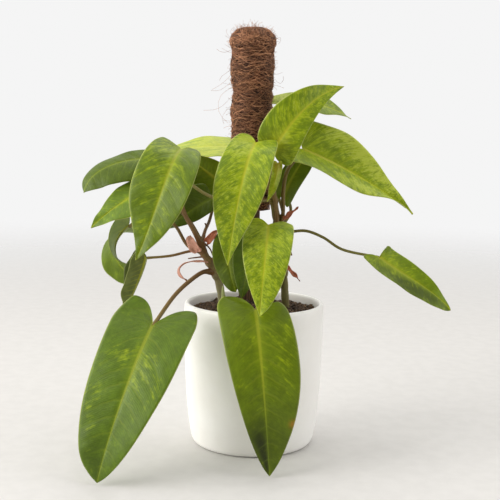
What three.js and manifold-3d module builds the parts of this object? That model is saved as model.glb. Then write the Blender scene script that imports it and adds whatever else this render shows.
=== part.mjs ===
// Potted painted lady philodendron: a white pot of soil, a coir pole on a stake,
// two stems with their petioles, leaf blades and dry sheaths.
// Millimetres, +Z up. The origin is the middle of the pot's foot. -Y is the front.

import * as THREE from 'three';
import { mergeVertices } from 'three/addons/utils/BufferGeometryUtils.js';
import Module from 'manifold-3d';

const wasm = await Module();
wasm.setup();

const RAD = Math.PI / 180;
const TURN = Math.PI * 2;
const TOUCH = 1e-3;

// Fit between separate pieces
const GAP = 0.3;
const SEAT_GAP = 0.6;
const HOLE_SLACK = 0.02;

// Pot: the outside from the foot's middle to the lip, and the inside from the floor up
const POT_HEIGHT = 143;
const POT_RIM_RADIUS = 70;
const POT_WALL = 5;
const POT_FOOT_RADIUS = 57;
const POT_FLOOR = 7;
const POT_SEGMENTS = 40;
const POT_OUTSIDE = [
  [0, 0], [POT_FOOT_RADIUS, 0], [60.2, 1.3], [61.8, 4], [64.8, 20], [67.6, 48], [69.2, 80], [69.9, 110],
  [POT_RIM_RADIUS, 139.5], [69.2, 142], [67.5, POT_HEIGHT], [65.8, 142.2], [65.1, 140],
];
const POT_INSIDE = [[57.5, POT_FLOOR], [61, 28], [63.6, 70], [POT_RIM_RADIUS - POT_WALL, 135]];

// Soil: level at the wall, mounded round the stake
const SOIL_WALL_HEIGHT = 134;
const SOIL_MOUND = 13;
const SOIL_MOUND_REACH = 30;
const SOIL_LUMP = 0.5;
const SOIL_RINGS = 6;

// Coir pole. The bands give the heights and radii of the wound sleeve's bulges and pinches,
// and the dome gives shares of the last radius and depths below the top.
const POLE_X = -5.5;
const STAKE_RADIUS = 10;
const STAKE_FOOT = 25;
const STAKE_TOP = 396;
const STAKE_SIDES = 20;
const SLEEVE_FOOT = 236;
const SLEEVE_TOP = 413;
const SLEEVE_X = -4.9;
const SLEEVE_LUMP = 0.3;
const SLEEVE_SEGMENTS = 20;
const SLEEVE_BANDS = [
  [SLEEVE_FOOT, 19.4], [248, 20.6], [262, 19.8], [278, 20.8], [292, 19.7], [306, 20.3], [320, 19.9],
  [333, 21.3], [342.5, 19.6], [348, 20.6], [353.5, 19.4], [360, 20.9], [367, 20.6], [376.5, 22],
  [387, 20.3], [392.5, 20.5], [399, 23], [403, 22.4],
];
const SLEEVE_DOME = [[0.88, 6], [0.7, 2.5], [0.38, 0], [0, 0]];

// Stems and petioles
const TUBE_SIDES = 7;
const TUBE_STEP = 11;
const STEM_RADIUS = 4;
const JOINT_RADIUS = 4.9;

// Leaf blades
const BLADE_THICKNESS = 0.8;
const BLADE_COLUMNS = 14;
const BLADE_ROWS = 2;
const SHOULDER = [0.6, 0.6];
const WIDEST = [0.22, 0.22];
const BELLY = [0.35, 0.35];
const FLANK = [0.4, 0.4];
const WAVE = [1, 1];
const WAVES = 2.5;

// The half outline of a blade: where along it the lobe and the widening end, and how it bends
const LOBE_END = 0.2;
const WIDEST_END = 0.46;
const LOBE_START = 0.22;
const LOBE_TURN = 0.52;
const LOBE_DEPTH = 0.55;
const SHOULDER_OUT = 0.55;
const SHOULDER_UP = 0.55;
const TIP_SLIM = 0.8;
const TIP_FULL = 0.16;
const VEIN_LEAN = 1.5;

// Dry sheaths
const SHEATH_THICKNESS = 0.7;
const SHEATH_LOBE = [1, 1];

// Each blade: base is the notch where the petiole joins, tip the point. leave and arrive are the
// directions of the midrib there, as long as its bend is wide. face is where the glossy side looks.
// lobe is how far the lobes reach past the notch. The pairs give the two halves, left then right:
// sides their flat widths, fold and roll their bends in degrees, shoulder how far out the lobe's
// top lies, widest how far along the blade the half is widest, flank how long it stays so and belly
// how full it is beyond. wave is the height of the margins' waves, which start at phase.
const LEAVES = {
  leaf_A: {
    base: [-1, -46, 303], tip: [-25, -82, 191], leave: [-9, -32, -14], arrive: [-6, -4, -50],
    face: [-0.15, -1, 0.25], sides: [26, 24.5], lobe: [9, 10], fold: [10, 10], roll: [-10, -10],
    shoulder: [0.55, 0.68], widest: [0.37, 0.3], belly: [0.35, 0.2],
  },
  leaf_B: {
    base: [-71, -50, 296], tip: [-108, -92, 196], leave: [-8, -34, -10], arrive: [-18, -6, -42],
    face: [-0.2, -1, 0.35], sides: [31, 27.5], lobe: [9, 8], fold: [10, 10], roll: [-10, -10],
    shoulder: [0.6, 0.32], widest: [0.39, 0.38], belly: [0.25, 0.38],
  },
  leaf_C: {
    base: [-90, -5, 286], tip: [-167, -25, 252], leave: [-34, -6, 0], arrive: [-6, -8, -28],
    face: [-0.1, -0.7, 0.75], sides: [15, 26], lobe: [12, 12], fold: [0, 0], roll: [-20, -20],
    widest: [0.35, 0.3], belly: [0.8, 0.9],
  },
  leaf_D: {
    base: [-98, -22, 262], tip: [-156, -50, 220.5], leave: [-22, -10, -12], arrive: [-18, -6, -18],
    face: [-0.35, -0.8, 0.5], sides: [16, 25], lobe: [12, 12], fold: [10, 10], roll: [-10, -10],
    widest: [0.4, 0.4],
  },
  leaf_E: {
    base: [-126, -8, 218], tip: [-119, 2, 163], leave: [-24, 0, -18], arrive: [22, 4, -14],
    face: [-0.87, -0.5, 0], sides: [21, 19], lobe: [8, 8], fold: [10, 10], roll: [10, 10],
    twist: -140, widest: [0.5, 0.5], belly: [0.8, 0.8],
  },
  leaf_F: {
    base: [-107, -24, 189], tip: [-125, -32, 138], leave: [-2, -3, -15], arrive: [-5, -2, -15],
    face: [-1, -0.2, 0.2], sides: [16, 16], lobe: [8, 8], fold: [62, 62], roll: [10, 10],
    belly: [0.6, 0.6],
  },
  leaf_G: {
    base: [-94, -80, 134], tip: [-137, -137, 3], leave: [-10, -38, -20], arrive: [-10, -2, -46],
    face: [-0.25, -1, 0.45], sides: [39, 42], lobe: [34, 25], fold: [8, 8], roll: [-6, -6],
    shoulder: [0.74, 0.7], widest: [0.04, 0.02], flank: [0.76, 0.4], belly: [0.64, 0.55],
  },
  leaf_H: {
    base: [1, -78, 149], tip: [16, -112, 2], leave: [4, -28, -16], arrive: [3, -2, -48],
    face: [0.05, -1, 0.2], sides: [35, 35], lobe: [22, 7], fold: [6, 6], roll: [-14, -8],
    shoulder: [0.7, 0.6], widest: [-0.05, 0.35], flank: [0.3, 0.4], belly: [0.5, 0.5],
  },
  leaf_I: {
    base: [12, -52, 226], tip: [5, -96, 147], leave: [0, -28, -4], arrive: [-2, -6, -34],
    face: [-0.1, -1, 0.5], sides: [23, 24.5], lobe: [15, 8], fold: [8, 8], roll: [-8, -8],
    shoulder: [0.45, 0.5], widest: [0.25, 0.2], belly: [0.3, 0.6],
  },
  leaf_J: {
    base: [17, -32, 298], tip: [84, -12, 358], leave: [14, -12, 24], arrive: [30, 14, 6],
    face: [0.35, -0.9, 0.4], sides: [23, 23.5], lobe: [9, 4], fold: [8, 8], roll: [-6, -6],
    shoulder: [0.48, 0.6], widest: [0, 0.22], flank: [0.05, 0.4], belly: [0.35, 0.2],
  },
  leaf_K: {
    base: [30, 18, 341], tip: [96, 28, 327.5], leave: [22, 4, 4], arrive: [24, 4, -14],
    face: [0.1, -0.5, 0.85], sides: [19, 21], lobe: [15, 18], fold: [6, 6], roll: [-6, -6],
    widest: [0.22, 0.12],
  },
  leaf_L: {
    base: [47, 5, 296], tip: [156, -10, 235], leave: [32, -6, -12], arrive: [26, -6, -22],
    face: [0.2, -0.62, 0.78], sides: [32.5, 36.5], lobe: [10, 12], fold: [18, 26], roll: [-8, -8],
    shoulder: [0.9, 0.9], widest: [0.25, 0.2], belly: [0.2, 0.1], wave: [3, -1], phase: 1.8,
  },
  leaf_M: {
    base: [122, -24, 193.5], tip: [191, -38, 144], leave: [18, -4, -15], arrive: [16, -4, -20],
    face: [0.3, -0.8, 0.6], sides: [18, 17], lobe: [12, 1], fold: [-4, 10], roll: [20, 5],
    shoulder: [0.6, 0.8], widest: [0.3, 0.05], belly: [0.8, 0.35],
  },
  leaf_N: {
    base: [-14, 36, 297], tip: [-101, 40, 288], leave: [-26, 2, 3], arrive: [-26, 2, -8],
    face: [0, -0.42, 0.9], sides: [22, 23], lobe: [8, 8], fold: [2, 2], roll: [-6, -6],
    belly: [0.8, 0.8],
  },
  leaf_O: {
    base: [-34, 20, 262], tip: [-73, 8, 287], leave: [-16, -2, 8], arrive: [-16, -4, 6],
    face: [0.1, -1, 0], sides: [16, 22], lobe: [10, 10], fold: [4, 4], roll: [-6, -6],
  },
  leaf_P: {
    base: [-43, 2, 247], tip: [-94, 4, 214], leave: [-20, 0, -12], arrive: [-18, 2, -12],
    face: [-0.1, -1, 0.2], sides: [22, 13], lobe: [1, 4], fold: [14, 14], roll: [-6, -6],
    widest: [0.35, 0.3],
  },
  leaf_Q: {
    base: [30, 6, 254], tip: [57, 26, 300], leave: [6, 4, 16], arrive: [10, 6, 16],
    face: [0.2, -1, 0.1], sides: [12, 13], lobe: [14, 12], fold: [6, 6], roll: [-6, -6],
    widest: [0.5, 0.3], belly: [0.75, 0.35],
  },
  leaf_R: {
    base: [20.5, -34.5, 283], tip: [11, -41, 247], leave: [0, -1, -12], arrive: [-6, -2, -14],
    face: [-0.3, -1, 0.1], sides: [5.5, 5.5], lobe: [3, 3], fold: [10, 10], roll: [10, 10],
  },
  leaf_S: {
    base: [-26, -26, 208], tip: [-18, -34, 158], leave: [-2, -8, -14], arrive: [6, 0, -16],
    face: [-0.2, -1, 0.2], sides: [15, 15], lobe: [8, 8], fold: [8, 8], roll: [-6, -6],
    belly: [0.7, 0.5],
  },
  leaf_T: {
    base: [-3, -36, 210], tip: [-12, -44, 153], leave: [-2, -8, -16], arrive: [-2, 2, -16],
    face: [0.1, -1, 0.2], sides: [17, 14], lobe: [8, 8], fold: [16, 16], roll: [-4, -4],
  },
};

// The dry sheaths are narrow blades of the same kind, in rust, tan and pink
const SHEATHS = {
  sheath_right_upper: {
    base: [28.3, -16.3, 229], tip: [42, -20, 241], leave: [5, -2, 3], arrive: [5, -1, 5],
    face: [-0.5, -0.8, 0.6], sides: [3.2, 3.2], fold: [12, 12], roll: [20, 20],
  },
  sheath_right_lower: {
    base: [32.3, 0.4, 178], tip: [46, -5, 165], leave: [5, -2, -4], arrive: [4, -1, -4],
    face: [0.5, -0.8, 0.5], sides: [3, 3], fold: [10, 10], roll: [20, 20],
  },
  sheath_left_pink: {
    base: [-56, -22.4, 196], tip: [-63, -28, 212], leave: [-4, -3, 6], arrive: [1, 0, 6],
    face: [-0.3, -1, 0], sides: [6, 6], fold: [0, 0], roll: [40, 40], belly: [0.9, 0.9],
  },
  sheath_left_red: {
    base: [-47, -21, 205], tip: [-37, -24, 217], leave: [3, -3, 4], arrive: [4, 0, 4],
    face: [0, -1, 0.2], sides: [4, 4], fold: [8, 8], roll: [30, 30], belly: [0.8, 0.8],
  },
  sheath_left_tan: {
    base: [-37.5, -13, 190], tip: [-36, -10, 209], leave: [4, -1, 6], arrive: [-1, 1, 6],
    face: [0.2, -1, 0.1], sides: [4.5, 4.5], fold: [8, 8], roll: [30, 30], belly: [0.8, 0.8],
  },
  sheath_left_curl: {
    base: [-47, -23.6, 185], tip: [-66, -30, 168], leave: [-24, -6, 6], arrive: [16, 0, -8],
    face: [-0.64, -0.2, 0.72], sides: [2.4, 2.4], fold: [10, 10], roll: [20, 20], belly: [0.9, 0.9],
  },
};

// Stems stand in the soil on a straight foot and swell at their joints
const LEFT_STEM = {
  foot: [[-25, -13.8, 94], [-31.6, -14.9, 142], [-33.8, -15.3, 158]],
  climb: [[-38, -16, 172], [-45, -17, 185], [-52, -18, 197], [-53, -18, 205]],
  joints: [[-38, -16, 172], [-45, -17, 185], [-52, -18, 197]],
};
const RIGHT_STEM = {
  foot: [[35.5, 13, 94], [32, 9, 142], [30.8, 7.7, 158]],
  climb: [[27, 1, 195], [22, -8, 222], [17.5, -16, 247], [13, -24, 270], [11, -28, 284]],
  joints: [[29, 5, 172], [27, 1, 195], [22, -8, 222], [17.5, -16, 247], [13, -24, 270]],
};

// Petioles run from a stem to the notch of their blade. The last stretch is worked out.
const LEFT_PETIOLES = {
  leaf_B: { radius: 2, path: [[-52, -18, 198], [-60, -23, 216], [-70, -27, 236], [-75, -36, 270]] },
  leaf_D: { radius: 1.8, path: [[-52, -17, 203], [-63, -12, 222], [-80, -10, 240]] },
  leaf_E: {
    radius: 1.8,
    path: [[-50, -17, 193], [-66, -14, 200], [-79, -14, 220], [-96, -11, 231], [-114, -9, 227]],
  },
  leaf_F: { radius: 1.5, path: [[-51, -18, 195], [-61, -20, 196], [-83, -22, 191]] },
  leaf_G: { radius: 2.3, path: [[-42, -17, 175], [-50, -25, 176], [-61, -36, 170], [-75, -50, 158]] },
  leaf_P: { radius: 1.8, path: [[-52, -18, 204], [-50, -8, 214], [-46, 6, 224], [-43, 14, 238]] },
};
const RIGHT_PETIOLES = {
  leaf_A: { radius: 2, path: [[13, -24, 268], [14, -32, 284]] },
  leaf_C: {
    radius: 1.8,
    path: [[17.5, -16, 247], [4, -30, 247], [-20, -31, 246], [-44, -22, 250], [-62, -14, 260]],
  },
  leaf_H: { radius: 2.2, path: [[29, 4, 174], [24, -20, 172], [11, -48, 159]] },
  leaf_I: { radius: 1.8, path: [[22, -8, 220], [20, -24, 223]] },
  leaf_J: {
    radius: 2,
    path: [[22, -9, 218], [21, -18, 232], [18, -23, 252], [12, -26, 276], [11, -26, 287]],
  },
  leaf_K: { radius: 1.8, path: [[11, -28, 283], [18, -16, 305], [26, 2, 324]] },
  leaf_L: { radius: 2.1, path: [[23, -9, 214], [27, -13, 232], [27, -15, 256], [31, -9, 276]] },
  leaf_M: {
    radius: 1.6,
    path: [[23, -6, 214], [36, -15, 216], [50, -16, 217], [67, -18, 211], [85, -20, 200]],
  },
  leaf_N: { radius: 1.8, path: [[22, -8, 219], [29, 8, 222], [24, 28, 246], [8, 37, 276]] },
  leaf_O: { radius: 1.8, path: [[28, 3, 190], [16, 22, 206], [-10, 27, 226]] },
  leaf_Q: { radius: 1.8, path: [[22, -8, 219], [28, 6, 221], [36, 16, 234]] },
  leaf_R: { radius: 1.4, path: [[13, -24, 270], [19, -26, 275]] },
  leaf_S: { radius: 1.6, path: [[28, 2, 188], [10, -19, 203], [-10, -20, 209]] },
  leaf_T: { radius: 1.6, path: [[28, 2, 188], [14, -20, 202]] },
};

// Short aerial roots and stubs that the stems put out
const LEFT_ROOTS = [
  { radius: 0.9, path: [[-50, -17, 190], [-58, -17, 189], [-66, -18, 188]] },
  { radius: 0.9, path: [[-50, -17, 204], [-44, -15, 197], [-40, -14, 186]] },
  { radius: 1.2, path: [[-48, -2, 218], [-50, -5, 222]] },
];
const RIGHT_ROOTS = [
  { radius: 1.3, path: [[27, 1, 195], [34, -4, 197], [37, -6, 191]] },
];

// A small pale shoot beside the left stem. The spindle gives shares of its radius and length.
const SHOOT = { foot: [-29, -25, 130], top: [-31, -26, 163], radius: 2.2 };
const SHOOT_SPINDLE = [[0, 0], [1, 0.01], [1, 0.6], [0.7, 0.85], [0, 1]];

const v3 = (p) => new THREE.Vector3(p[0], p[1], p[2]);
const toOutline = (pairs) => pairs.map(([x, y]) => new THREE.Vector2(x, y));

function cubic(a, b, c, d, t) {
  const s = 1 - t;
  return a * s * s * s + 3 * b * s * s * t + 3 * c * s * t * t + d * t * t * t;
}

// Half outline of a flat blade: the notch, round the lobe, past the widest place to the tip
function marginPoint(leaf, which, length, u) {
  const half = leaf.sides[which];
  const widestAt = length * (leaf.widest ?? WIDEST)[which];
  const belly = (leaf.belly ?? BELLY)[which];
  const top = half * (leaf.shoulder ?? SHOULDER)[which];
  const lobe = leaf.lobe[which];
  if (u < LOBE_END) {
    const t = u / LOBE_END;
    const x = cubic(0, top * LOBE_START, top * LOBE_TURN, top, t);
    const y = cubic(0, -lobe * LOBE_DEPTH, -lobe, -lobe, t);
    return [x, y];
  }
  if (u < WIDEST_END) {
    const t = (u - LOBE_END) / (WIDEST_END - LOBE_END);
    const x = cubic(top, top + (half - top) * SHOULDER_OUT, half, half, t);
    const y = cubic(-lobe, -lobe, widestAt - (widestAt + lobe) * SHOULDER_UP, widestAt, t);
    return [x, y];
  }
  const t = (u - WIDEST_END) / (1 - WIDEST_END);
  const x = cubic(half, half, half * belly, 0, t);
  const flankEnd = widestAt + (length - widestAt) * (leaf.flank ?? FLANK)[which];
  const y = cubic(widestAt, flankEnd, length * (TIP_SLIM + TIP_FULL * belly), length, t);
  return [x, y];
}

// Where the lateral vein that ends at a margin place starts along the midrib
function ribPoint(u, length) {
  return u <= LOBE_END ? 0 : length * Math.pow((u - LOBE_END) / (1 - LOBE_END), VEIN_LEAN);
}

function makeSpine(leaf) {
  const base = v3(leaf.base);
  const tip = v3(leaf.tip);
  const first = base.clone().add(v3(leaf.leave));
  const last = tip.clone().sub(v3(leaf.arrive));
  return new THREE.CubicBezierCurve3(base, first, last, tip);
}

// A blade's own space: along the midrib, out to one side, and off the glossy face
function makeBladeSpace(leaf) {
  const spine = makeSpine(leaf);
  const length = spine.getLength();
  const chord = v3(leaf.tip).sub(v3(leaf.base)).normalize();
  const across = v3(leaf.face).cross(chord).normalize();
  const start = spine.getTangentAt(0);
  const frameAt = (y) => {
    const s = Math.min(Math.max(y / length, 0), 1);
    const along = spine.getTangentAt(s);
    const side = across.clone().addScaledVector(along, -across.dot(along)).normalize();
    side.applyAxisAngle(along, (leaf.twist ?? 0) * RAD * (s - 0.5));
    const normal = along.clone().cross(side);
    const origin = spine.getPointAt(s);
    if (y < 0) origin.addScaledVector(start, y);
    return { origin, side, normal };
  };
  return { length, frameAt };
}

// How far out and how far off the face a folded and rolled half lies, and how it slopes there
function bendHalf(leaf, which, x) {
  const fold = leaf.fold[which] * RAD;
  const bend = (leaf.roll[which] * RAD) / leaf.sides[which];
  const slope = fold + bend * x;
  return {
    out: (Math.sin(slope) - Math.sin(fold)) / bend,
    up: (Math.cos(fold) - Math.cos(slope)) / bend,
    slope,
  };
}

// The margin waves a little, out of step from blade to blade and from half to half
function waveHeight(leaf, hand, u, v) {
  const height = (leaf.wave ?? WAVE)[hand < 0 ? 0 : 1];
  const angle = TURN * WAVES * u + hand + (leaf.phase ?? leaf.tip[0]);
  return height * v * v * Math.sin(angle) * Math.min(1, 4 * u);
}

// off points off the glossy face, and along the midrib it is the mitre between the two halves
function bladePoint(leaf, space, hand, u, v) {
  const which = hand < 0 ? 0 : 1;
  const [mx, my] = marginPoint(leaf, which, space.length, u);
  const rib = ribPoint(u, space.length);
  const { out, up, slope } = bendHalf(leaf, which, mx * v);
  const { origin, side, normal } = space.frameAt(rib + (my - rib) * v);
  const point = origin.addScaledVector(side, hand * out);
  point.addScaledVector(normal, up + waveHeight(leaf, hand, u, v));
  const off = normal.clone();
  if (v === 0) off.divideScalar(Math.cos(slope));
  else off.multiplyScalar(Math.cos(slope)).addScaledVector(side, -hand * Math.sin(slope));
  return { point, off };
}

// A closed sheet over both halves of a blade, split into triangles alike on its two faces
function makeBlade(leaf, thickness) {
  const space = makeBladeSpace(leaf);
  const positions = [];
  const keep = (point) => positions.push(point.x, point.y, point.z) / 3 - 1;
  const pair = (hand, u, v) => {
    const { point, off } = bladePoint(leaf, space, hand, u, v);
    const lift = off.multiplyScalar(thickness / 2);
    return [keep(point.clone().add(lift)), keep(point.clone().sub(lift))];
  };
  const notch = pair(1, 0, 0);
  const tip = pair(1, 1, 0);
  const rib = [];
  for (let i = 0; i < BLADE_COLUMNS; i++) {
    const u = i / BLADE_COLUMNS;
    rib.push(u <= LOBE_END ? notch : pair(1, u, 0));
  }
  rib.push(tip);
  const faces = [];
  const sheet = (a, b, c) => {
    if (a !== b && b !== c && a !== c) faces.push(a[0], c[0], b[0], a[1], b[1], c[1]);
  };
  for (const hand of [1, -1]) {
    const edge = (a, b) => {
      const [p, q] = hand > 0 ? [a, b] : [b, a];
      faces.push(p[0], q[1], p[1], p[0], q[0], q[1]);
    };
    const grid = rib.map((start, i) => {
      if (i === BLADE_COLUMNS) return Array(BLADE_ROWS + 1).fill(start);
      const column = [start];
      for (let j = 1; j <= BLADE_ROWS; j++) column.push(pair(hand, i / BLADE_COLUMNS, j / BLADE_ROWS));
      return column;
    });
    for (let j = 0; j < BLADE_ROWS; j++) edge(grid[1][j], grid[1][j + 1]);
    for (let i = 1; i < BLADE_COLUMNS; i++) {
      const here = hand > 0 ? grid[i] : grid[i + 1];
      const next = hand > 0 ? grid[i + 1] : grid[i];
      for (let j = 0; j < BLADE_ROWS; j++) {
        sheet(here[j], here[j + 1], next[j + 1]);
        sheet(here[j], next[j + 1], next[j]);
      }
      edge(grid[i][BLADE_ROWS], grid[i + 1][BLADE_ROWS]);
    }
  }
  const geometry = new THREE.BufferGeometry();
  geometry.setAttribute('position', new THREE.Float32BufferAttribute(positions, 3));
  geometry.setIndex(faces);
  return geometry;
}

// Merged corners and no empty triangles, as a closed solid needs
function weld(geometry) {
  geometry.deleteAttribute('normal');
  geometry.deleteAttribute('uv');
  const merged = mergeVertices(geometry, TOUCH);
  const index = merged.index.array;
  const kept = [];
  for (let i = 0; i < index.length; i += 3) {
    const [a, b, c] = [index[i], index[i + 1], index[i + 2]];
    if (a !== b && b !== c && a !== c) kept.push(a, b, c);
  }
  merged.setIndex(kept);
  return merged;
}

function toSolid(geometry) {
  const welded = weld(geometry);
  const mesh = new wasm.Mesh({
    numProp: 3,
    vertProperties: new Float32Array(welded.attributes.position.array),
    triVerts: new Uint32Array(welded.index.array),
  });
  return new wasm.Manifold(mesh);
}

function toGeometry(solid) {
  const mesh = solid.getMesh();
  const geometry = new THREE.BufferGeometry();
  geometry.setAttribute('position', new THREE.Float32BufferAttribute(mesh.vertProperties, 3));
  geometry.setIndex(Array.from(mesh.triVerts));
  return geometry;
}

function makeTube(points, radius) {
  const curve = new THREE.CatmullRomCurve3(points.map(v3), false, 'centripetal');
  const round = Array.from({ length: TUBE_SIDES }, (_, i) => {
    const angle = (i / TUBE_SIDES) * TURN;
    return new THREE.Vector2(Math.cos(angle) * radius, Math.sin(angle) * radius);
  });
  const steps = Math.max(2, Math.round(curve.getLength() / TUBE_STEP));
  const path = { steps, bevelEnabled: false, extrudePath: curve };
  return new THREE.ExtrudeGeometry(new THREE.Shape(round), path);
}

// The petiole ends square under the notch of its blade, a gap clear of it
function petiolePoints(leaf, petiole) {
  const { origin, normal } = makeBladeSpace(leaf).frameAt(0);
  const last = v3(petiole.path[petiole.path.length - 1]);
  const arrive = origin.clone().sub(last).normalize();
  const slant = Math.sqrt(Math.max(0, 1 - arrive.dot(normal) ** 2));
  const below = BLADE_THICKNESS / 2 + SEAT_GAP + petiole.radius * slant;
  const end = origin.addScaledVector(normal, -below);
  return [...petiole.path, end.toArray()];
}

function makeStem(stem, petioles, roots) {
  let solid = toSolid(makeTube([...stem.foot, ...stem.climb], STEM_RADIUS));
  const join = (geometry) => { solid = solid.add(toSolid(geometry)); };
  for (const joint of stem.joints) {
    join(new THREE.IcosahedronGeometry(JOINT_RADIUS, 1).translate(...joint));
  }
  for (const [name, petiole] of Object.entries(petioles)) {
    join(makeTube(petiolePoints(LEAVES[name], petiole), petiole.radius));
  }
  for (const root of roots) join(makeTube(root.path, root.radius));
  return toGeometry(solid);
}

function makePot() {
  const outline = toOutline([...POT_OUTSIDE, ...POT_INSIDE.toReversed(), [0, POT_FLOOR]]);
  return new THREE.LatheGeometry(outline, POT_SEGMENTS).rotateX(90 * RAD);
}

// Height of the soil: level at the wall, mounded round the stake and crumbly all over
function soilHeight(x, y) {
  const away = Math.hypot(x - POLE_X, y) / SOIL_MOUND_REACH;
  const mound = SOIL_MOUND * Math.exp(-away * away);
  const broad = Math.sin(x * 0.31 + y * 0.17) + Math.sin(y * 0.37 - x * 0.11);
  const small = Math.sin(x * 0.7) * Math.cos(y * 0.6);
  return SOIL_WALL_HEIGHT + mound + SOIL_LUMP * (broad + small);
}

// A straight hole a gap wider than the stem's foot and a gap deeper
function makeFootHole(foot, above, radius) {
  const start = v3(foot);
  const end = v3(above);
  const along = end.clone().sub(start).normalize();
  start.addScaledVector(along, -GAP);
  const clear = GAP / Math.cos(Math.PI / TUBE_SIDES) + HOLE_SLACK;
  return makeTube([start.toArray(), end.toArray()], radius + clear);
}

function makeSoil() {
  const wall = POT_INSIDE.map(([x, y]) => [x - GAP, y]);
  wall[0][1] += GAP;
  wall[wall.length - 1][1] = SOIL_WALL_HEIGHT;
  const radius = wall[wall.length - 1][0];
  const rings = Array.from({ length: SOIL_RINGS }, (_, i) => {
    return [radius * (1 - (i + 1) / SOIL_RINGS), SOIL_WALL_HEIGHT];
  });
  const outline = toOutline([[0, POT_FLOOR + GAP], ...wall, ...rings]);
  const geometry = new THREE.LatheGeometry(outline, POT_SEGMENTS).rotateX(90 * RAD);
  const spots = geometry.attributes.position;
  for (let i = 0; i < spots.count; i++) {
    const [x, y, z] = [spots.getX(i), spots.getY(i), spots.getZ(i)];
    if (z > SOIL_WALL_HEIGHT - TOUCH) spots.setZ(i, soilHeight(x, y));
  }
  let soil = toSolid(geometry);
  const dig = (hole) => { soil = soil.subtract(toSolid(hole)); };
  dig(makeRod(STAKE_RADIUS + GAP, STAKE_FOOT - GAP, SOIL_WALL_HEIGHT + 2 * SOIL_MOUND));
  for (const stem of [LEFT_STEM, RIGHT_STEM]) dig(makeFootHole(stem.foot[0], stem.foot[2], STEM_RADIUS));
  dig(makeFootHole(SHOOT.foot, SHOOT.top, SHOOT.radius));
  return toGeometry(soil);
}

function makeRod(radius, bottom, top) {
  const rod = new THREE.CylinderGeometry(radius, radius, top - bottom, STAKE_SIDES).rotateX(90 * RAD);
  return rod.translate(POLE_X, 0, (bottom + top) / 2);
}

// Wound coir: bands up the pole and lumps round it
function makeSleeve() {
  const last = SLEEVE_BANDS[SLEEVE_BANDS.length - 1][1];
  const dome = SLEEVE_DOME.map(([share, depth]) => [share * last, SLEEVE_TOP - depth]);
  const outline = toOutline([[0, SLEEVE_FOOT], ...SLEEVE_BANDS.map(([z, radius]) => [radius, z]), ...dome]);
  const geometry = new THREE.LatheGeometry(outline, SLEEVE_SEGMENTS).rotateX(90 * RAD);
  const spots = geometry.attributes.position;
  for (let i = 0; i < spots.count; i++) {
    const [x, y, z] = [spots.getX(i), spots.getY(i), spots.getZ(i)];
    const angle = Math.atan2(y, x);
    const lumps = SLEEVE_LUMP * (Math.sin(angle * 3 + z * 0.13) + Math.sin(angle * 5 - z * 0.21));
    const swell = 1 + lumps / last;
    spots.setXYZ(i, x * swell, y * swell, z);
  }
  geometry.translate(SLEEVE_X, 0, 0);
  const bore = makeRod(STAKE_RADIUS + GAP, SLEEVE_FOOT - 1, STAKE_TOP + GAP);
  return toGeometry(toSolid(geometry).subtract(toSolid(bore)));
}

function makeShoot() {
  const foot = v3(SHOOT.foot);
  const rise = v3(SHOOT.top).sub(foot);
  const long = rise.length();
  const outline = toOutline(SHOOT_SPINDLE.map(([x, y]) => [x * SHOOT.radius, y * long]));
  const lean = new THREE.Quaternion().setFromUnitVectors(new THREE.Vector3(0, 1, 0), rise.normalize());
  return new THREE.LatheGeometry(outline, TUBE_SIDES).applyQuaternion(lean).translate(...SHOOT.foot);
}

function addMesh(group, name, geometry, color, roughness) {
  const material = new THREE.MeshStandardMaterial({ color, roughness, metalness: 0 });
  const mesh = new THREE.Mesh(geometry, material);
  mesh.name = name;
  group.add(mesh);
}

function makePart() {
  const part = new THREE.Group();
  addMesh(part, 'pot', weld(makePot()), 0xf2f2f0, 0.55);
  addMesh(part, 'soil', makeSoil(), 0x3a2a20, 0.95);
  addMesh(part, 'pole_stake', weld(makeRod(STAKE_RADIUS, STAKE_FOOT, STAKE_TOP)), 0x6b4a33, 0.8);
  addMesh(part, 'coir_sleeve', makeSleeve(), 0x7a5140, 0.95);
  addMesh(part, 'left_stem', makeStem(LEFT_STEM, LEFT_PETIOLES, LEFT_ROOTS), 0x6e6135, 0.6);
  addMesh(part, 'right_stem', makeStem(RIGHT_STEM, RIGHT_PETIOLES, RIGHT_ROOTS), 0x5c5a2c, 0.6);
  addMesh(part, 'pale_shoot', weld(makeShoot()), 0xa7b06a, 0.6);
  for (const [name, leaf] of Object.entries(LEAVES)) {
    addMesh(part, name, makeBlade(leaf, BLADE_THICKNESS), 0x6f9a2c, 0.5);
  }
  for (const [name, sheath] of Object.entries(SHEATHS)) {
    const blade = makeBlade({ lobe: SHEATH_LOBE, ...sheath }, SHEATH_THICKNESS);
    addMesh(part, name, blade, 0xa8684c, 0.8);
  }
  return part;
}

export default makePart();
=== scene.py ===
# Potted painted lady philodendron, dressed over its solids: pot, soil, coir pole, stems, leaves.
# Metres, +Z up. The origin is the middle of the pot's foot and -Y is the front.
# Routes and sizes of the plant's tables are given in millimetres and turned to metres on use.

import math

import bpy
import numpy as np
from mathutils import Matrix, Vector, kdtree


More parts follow.
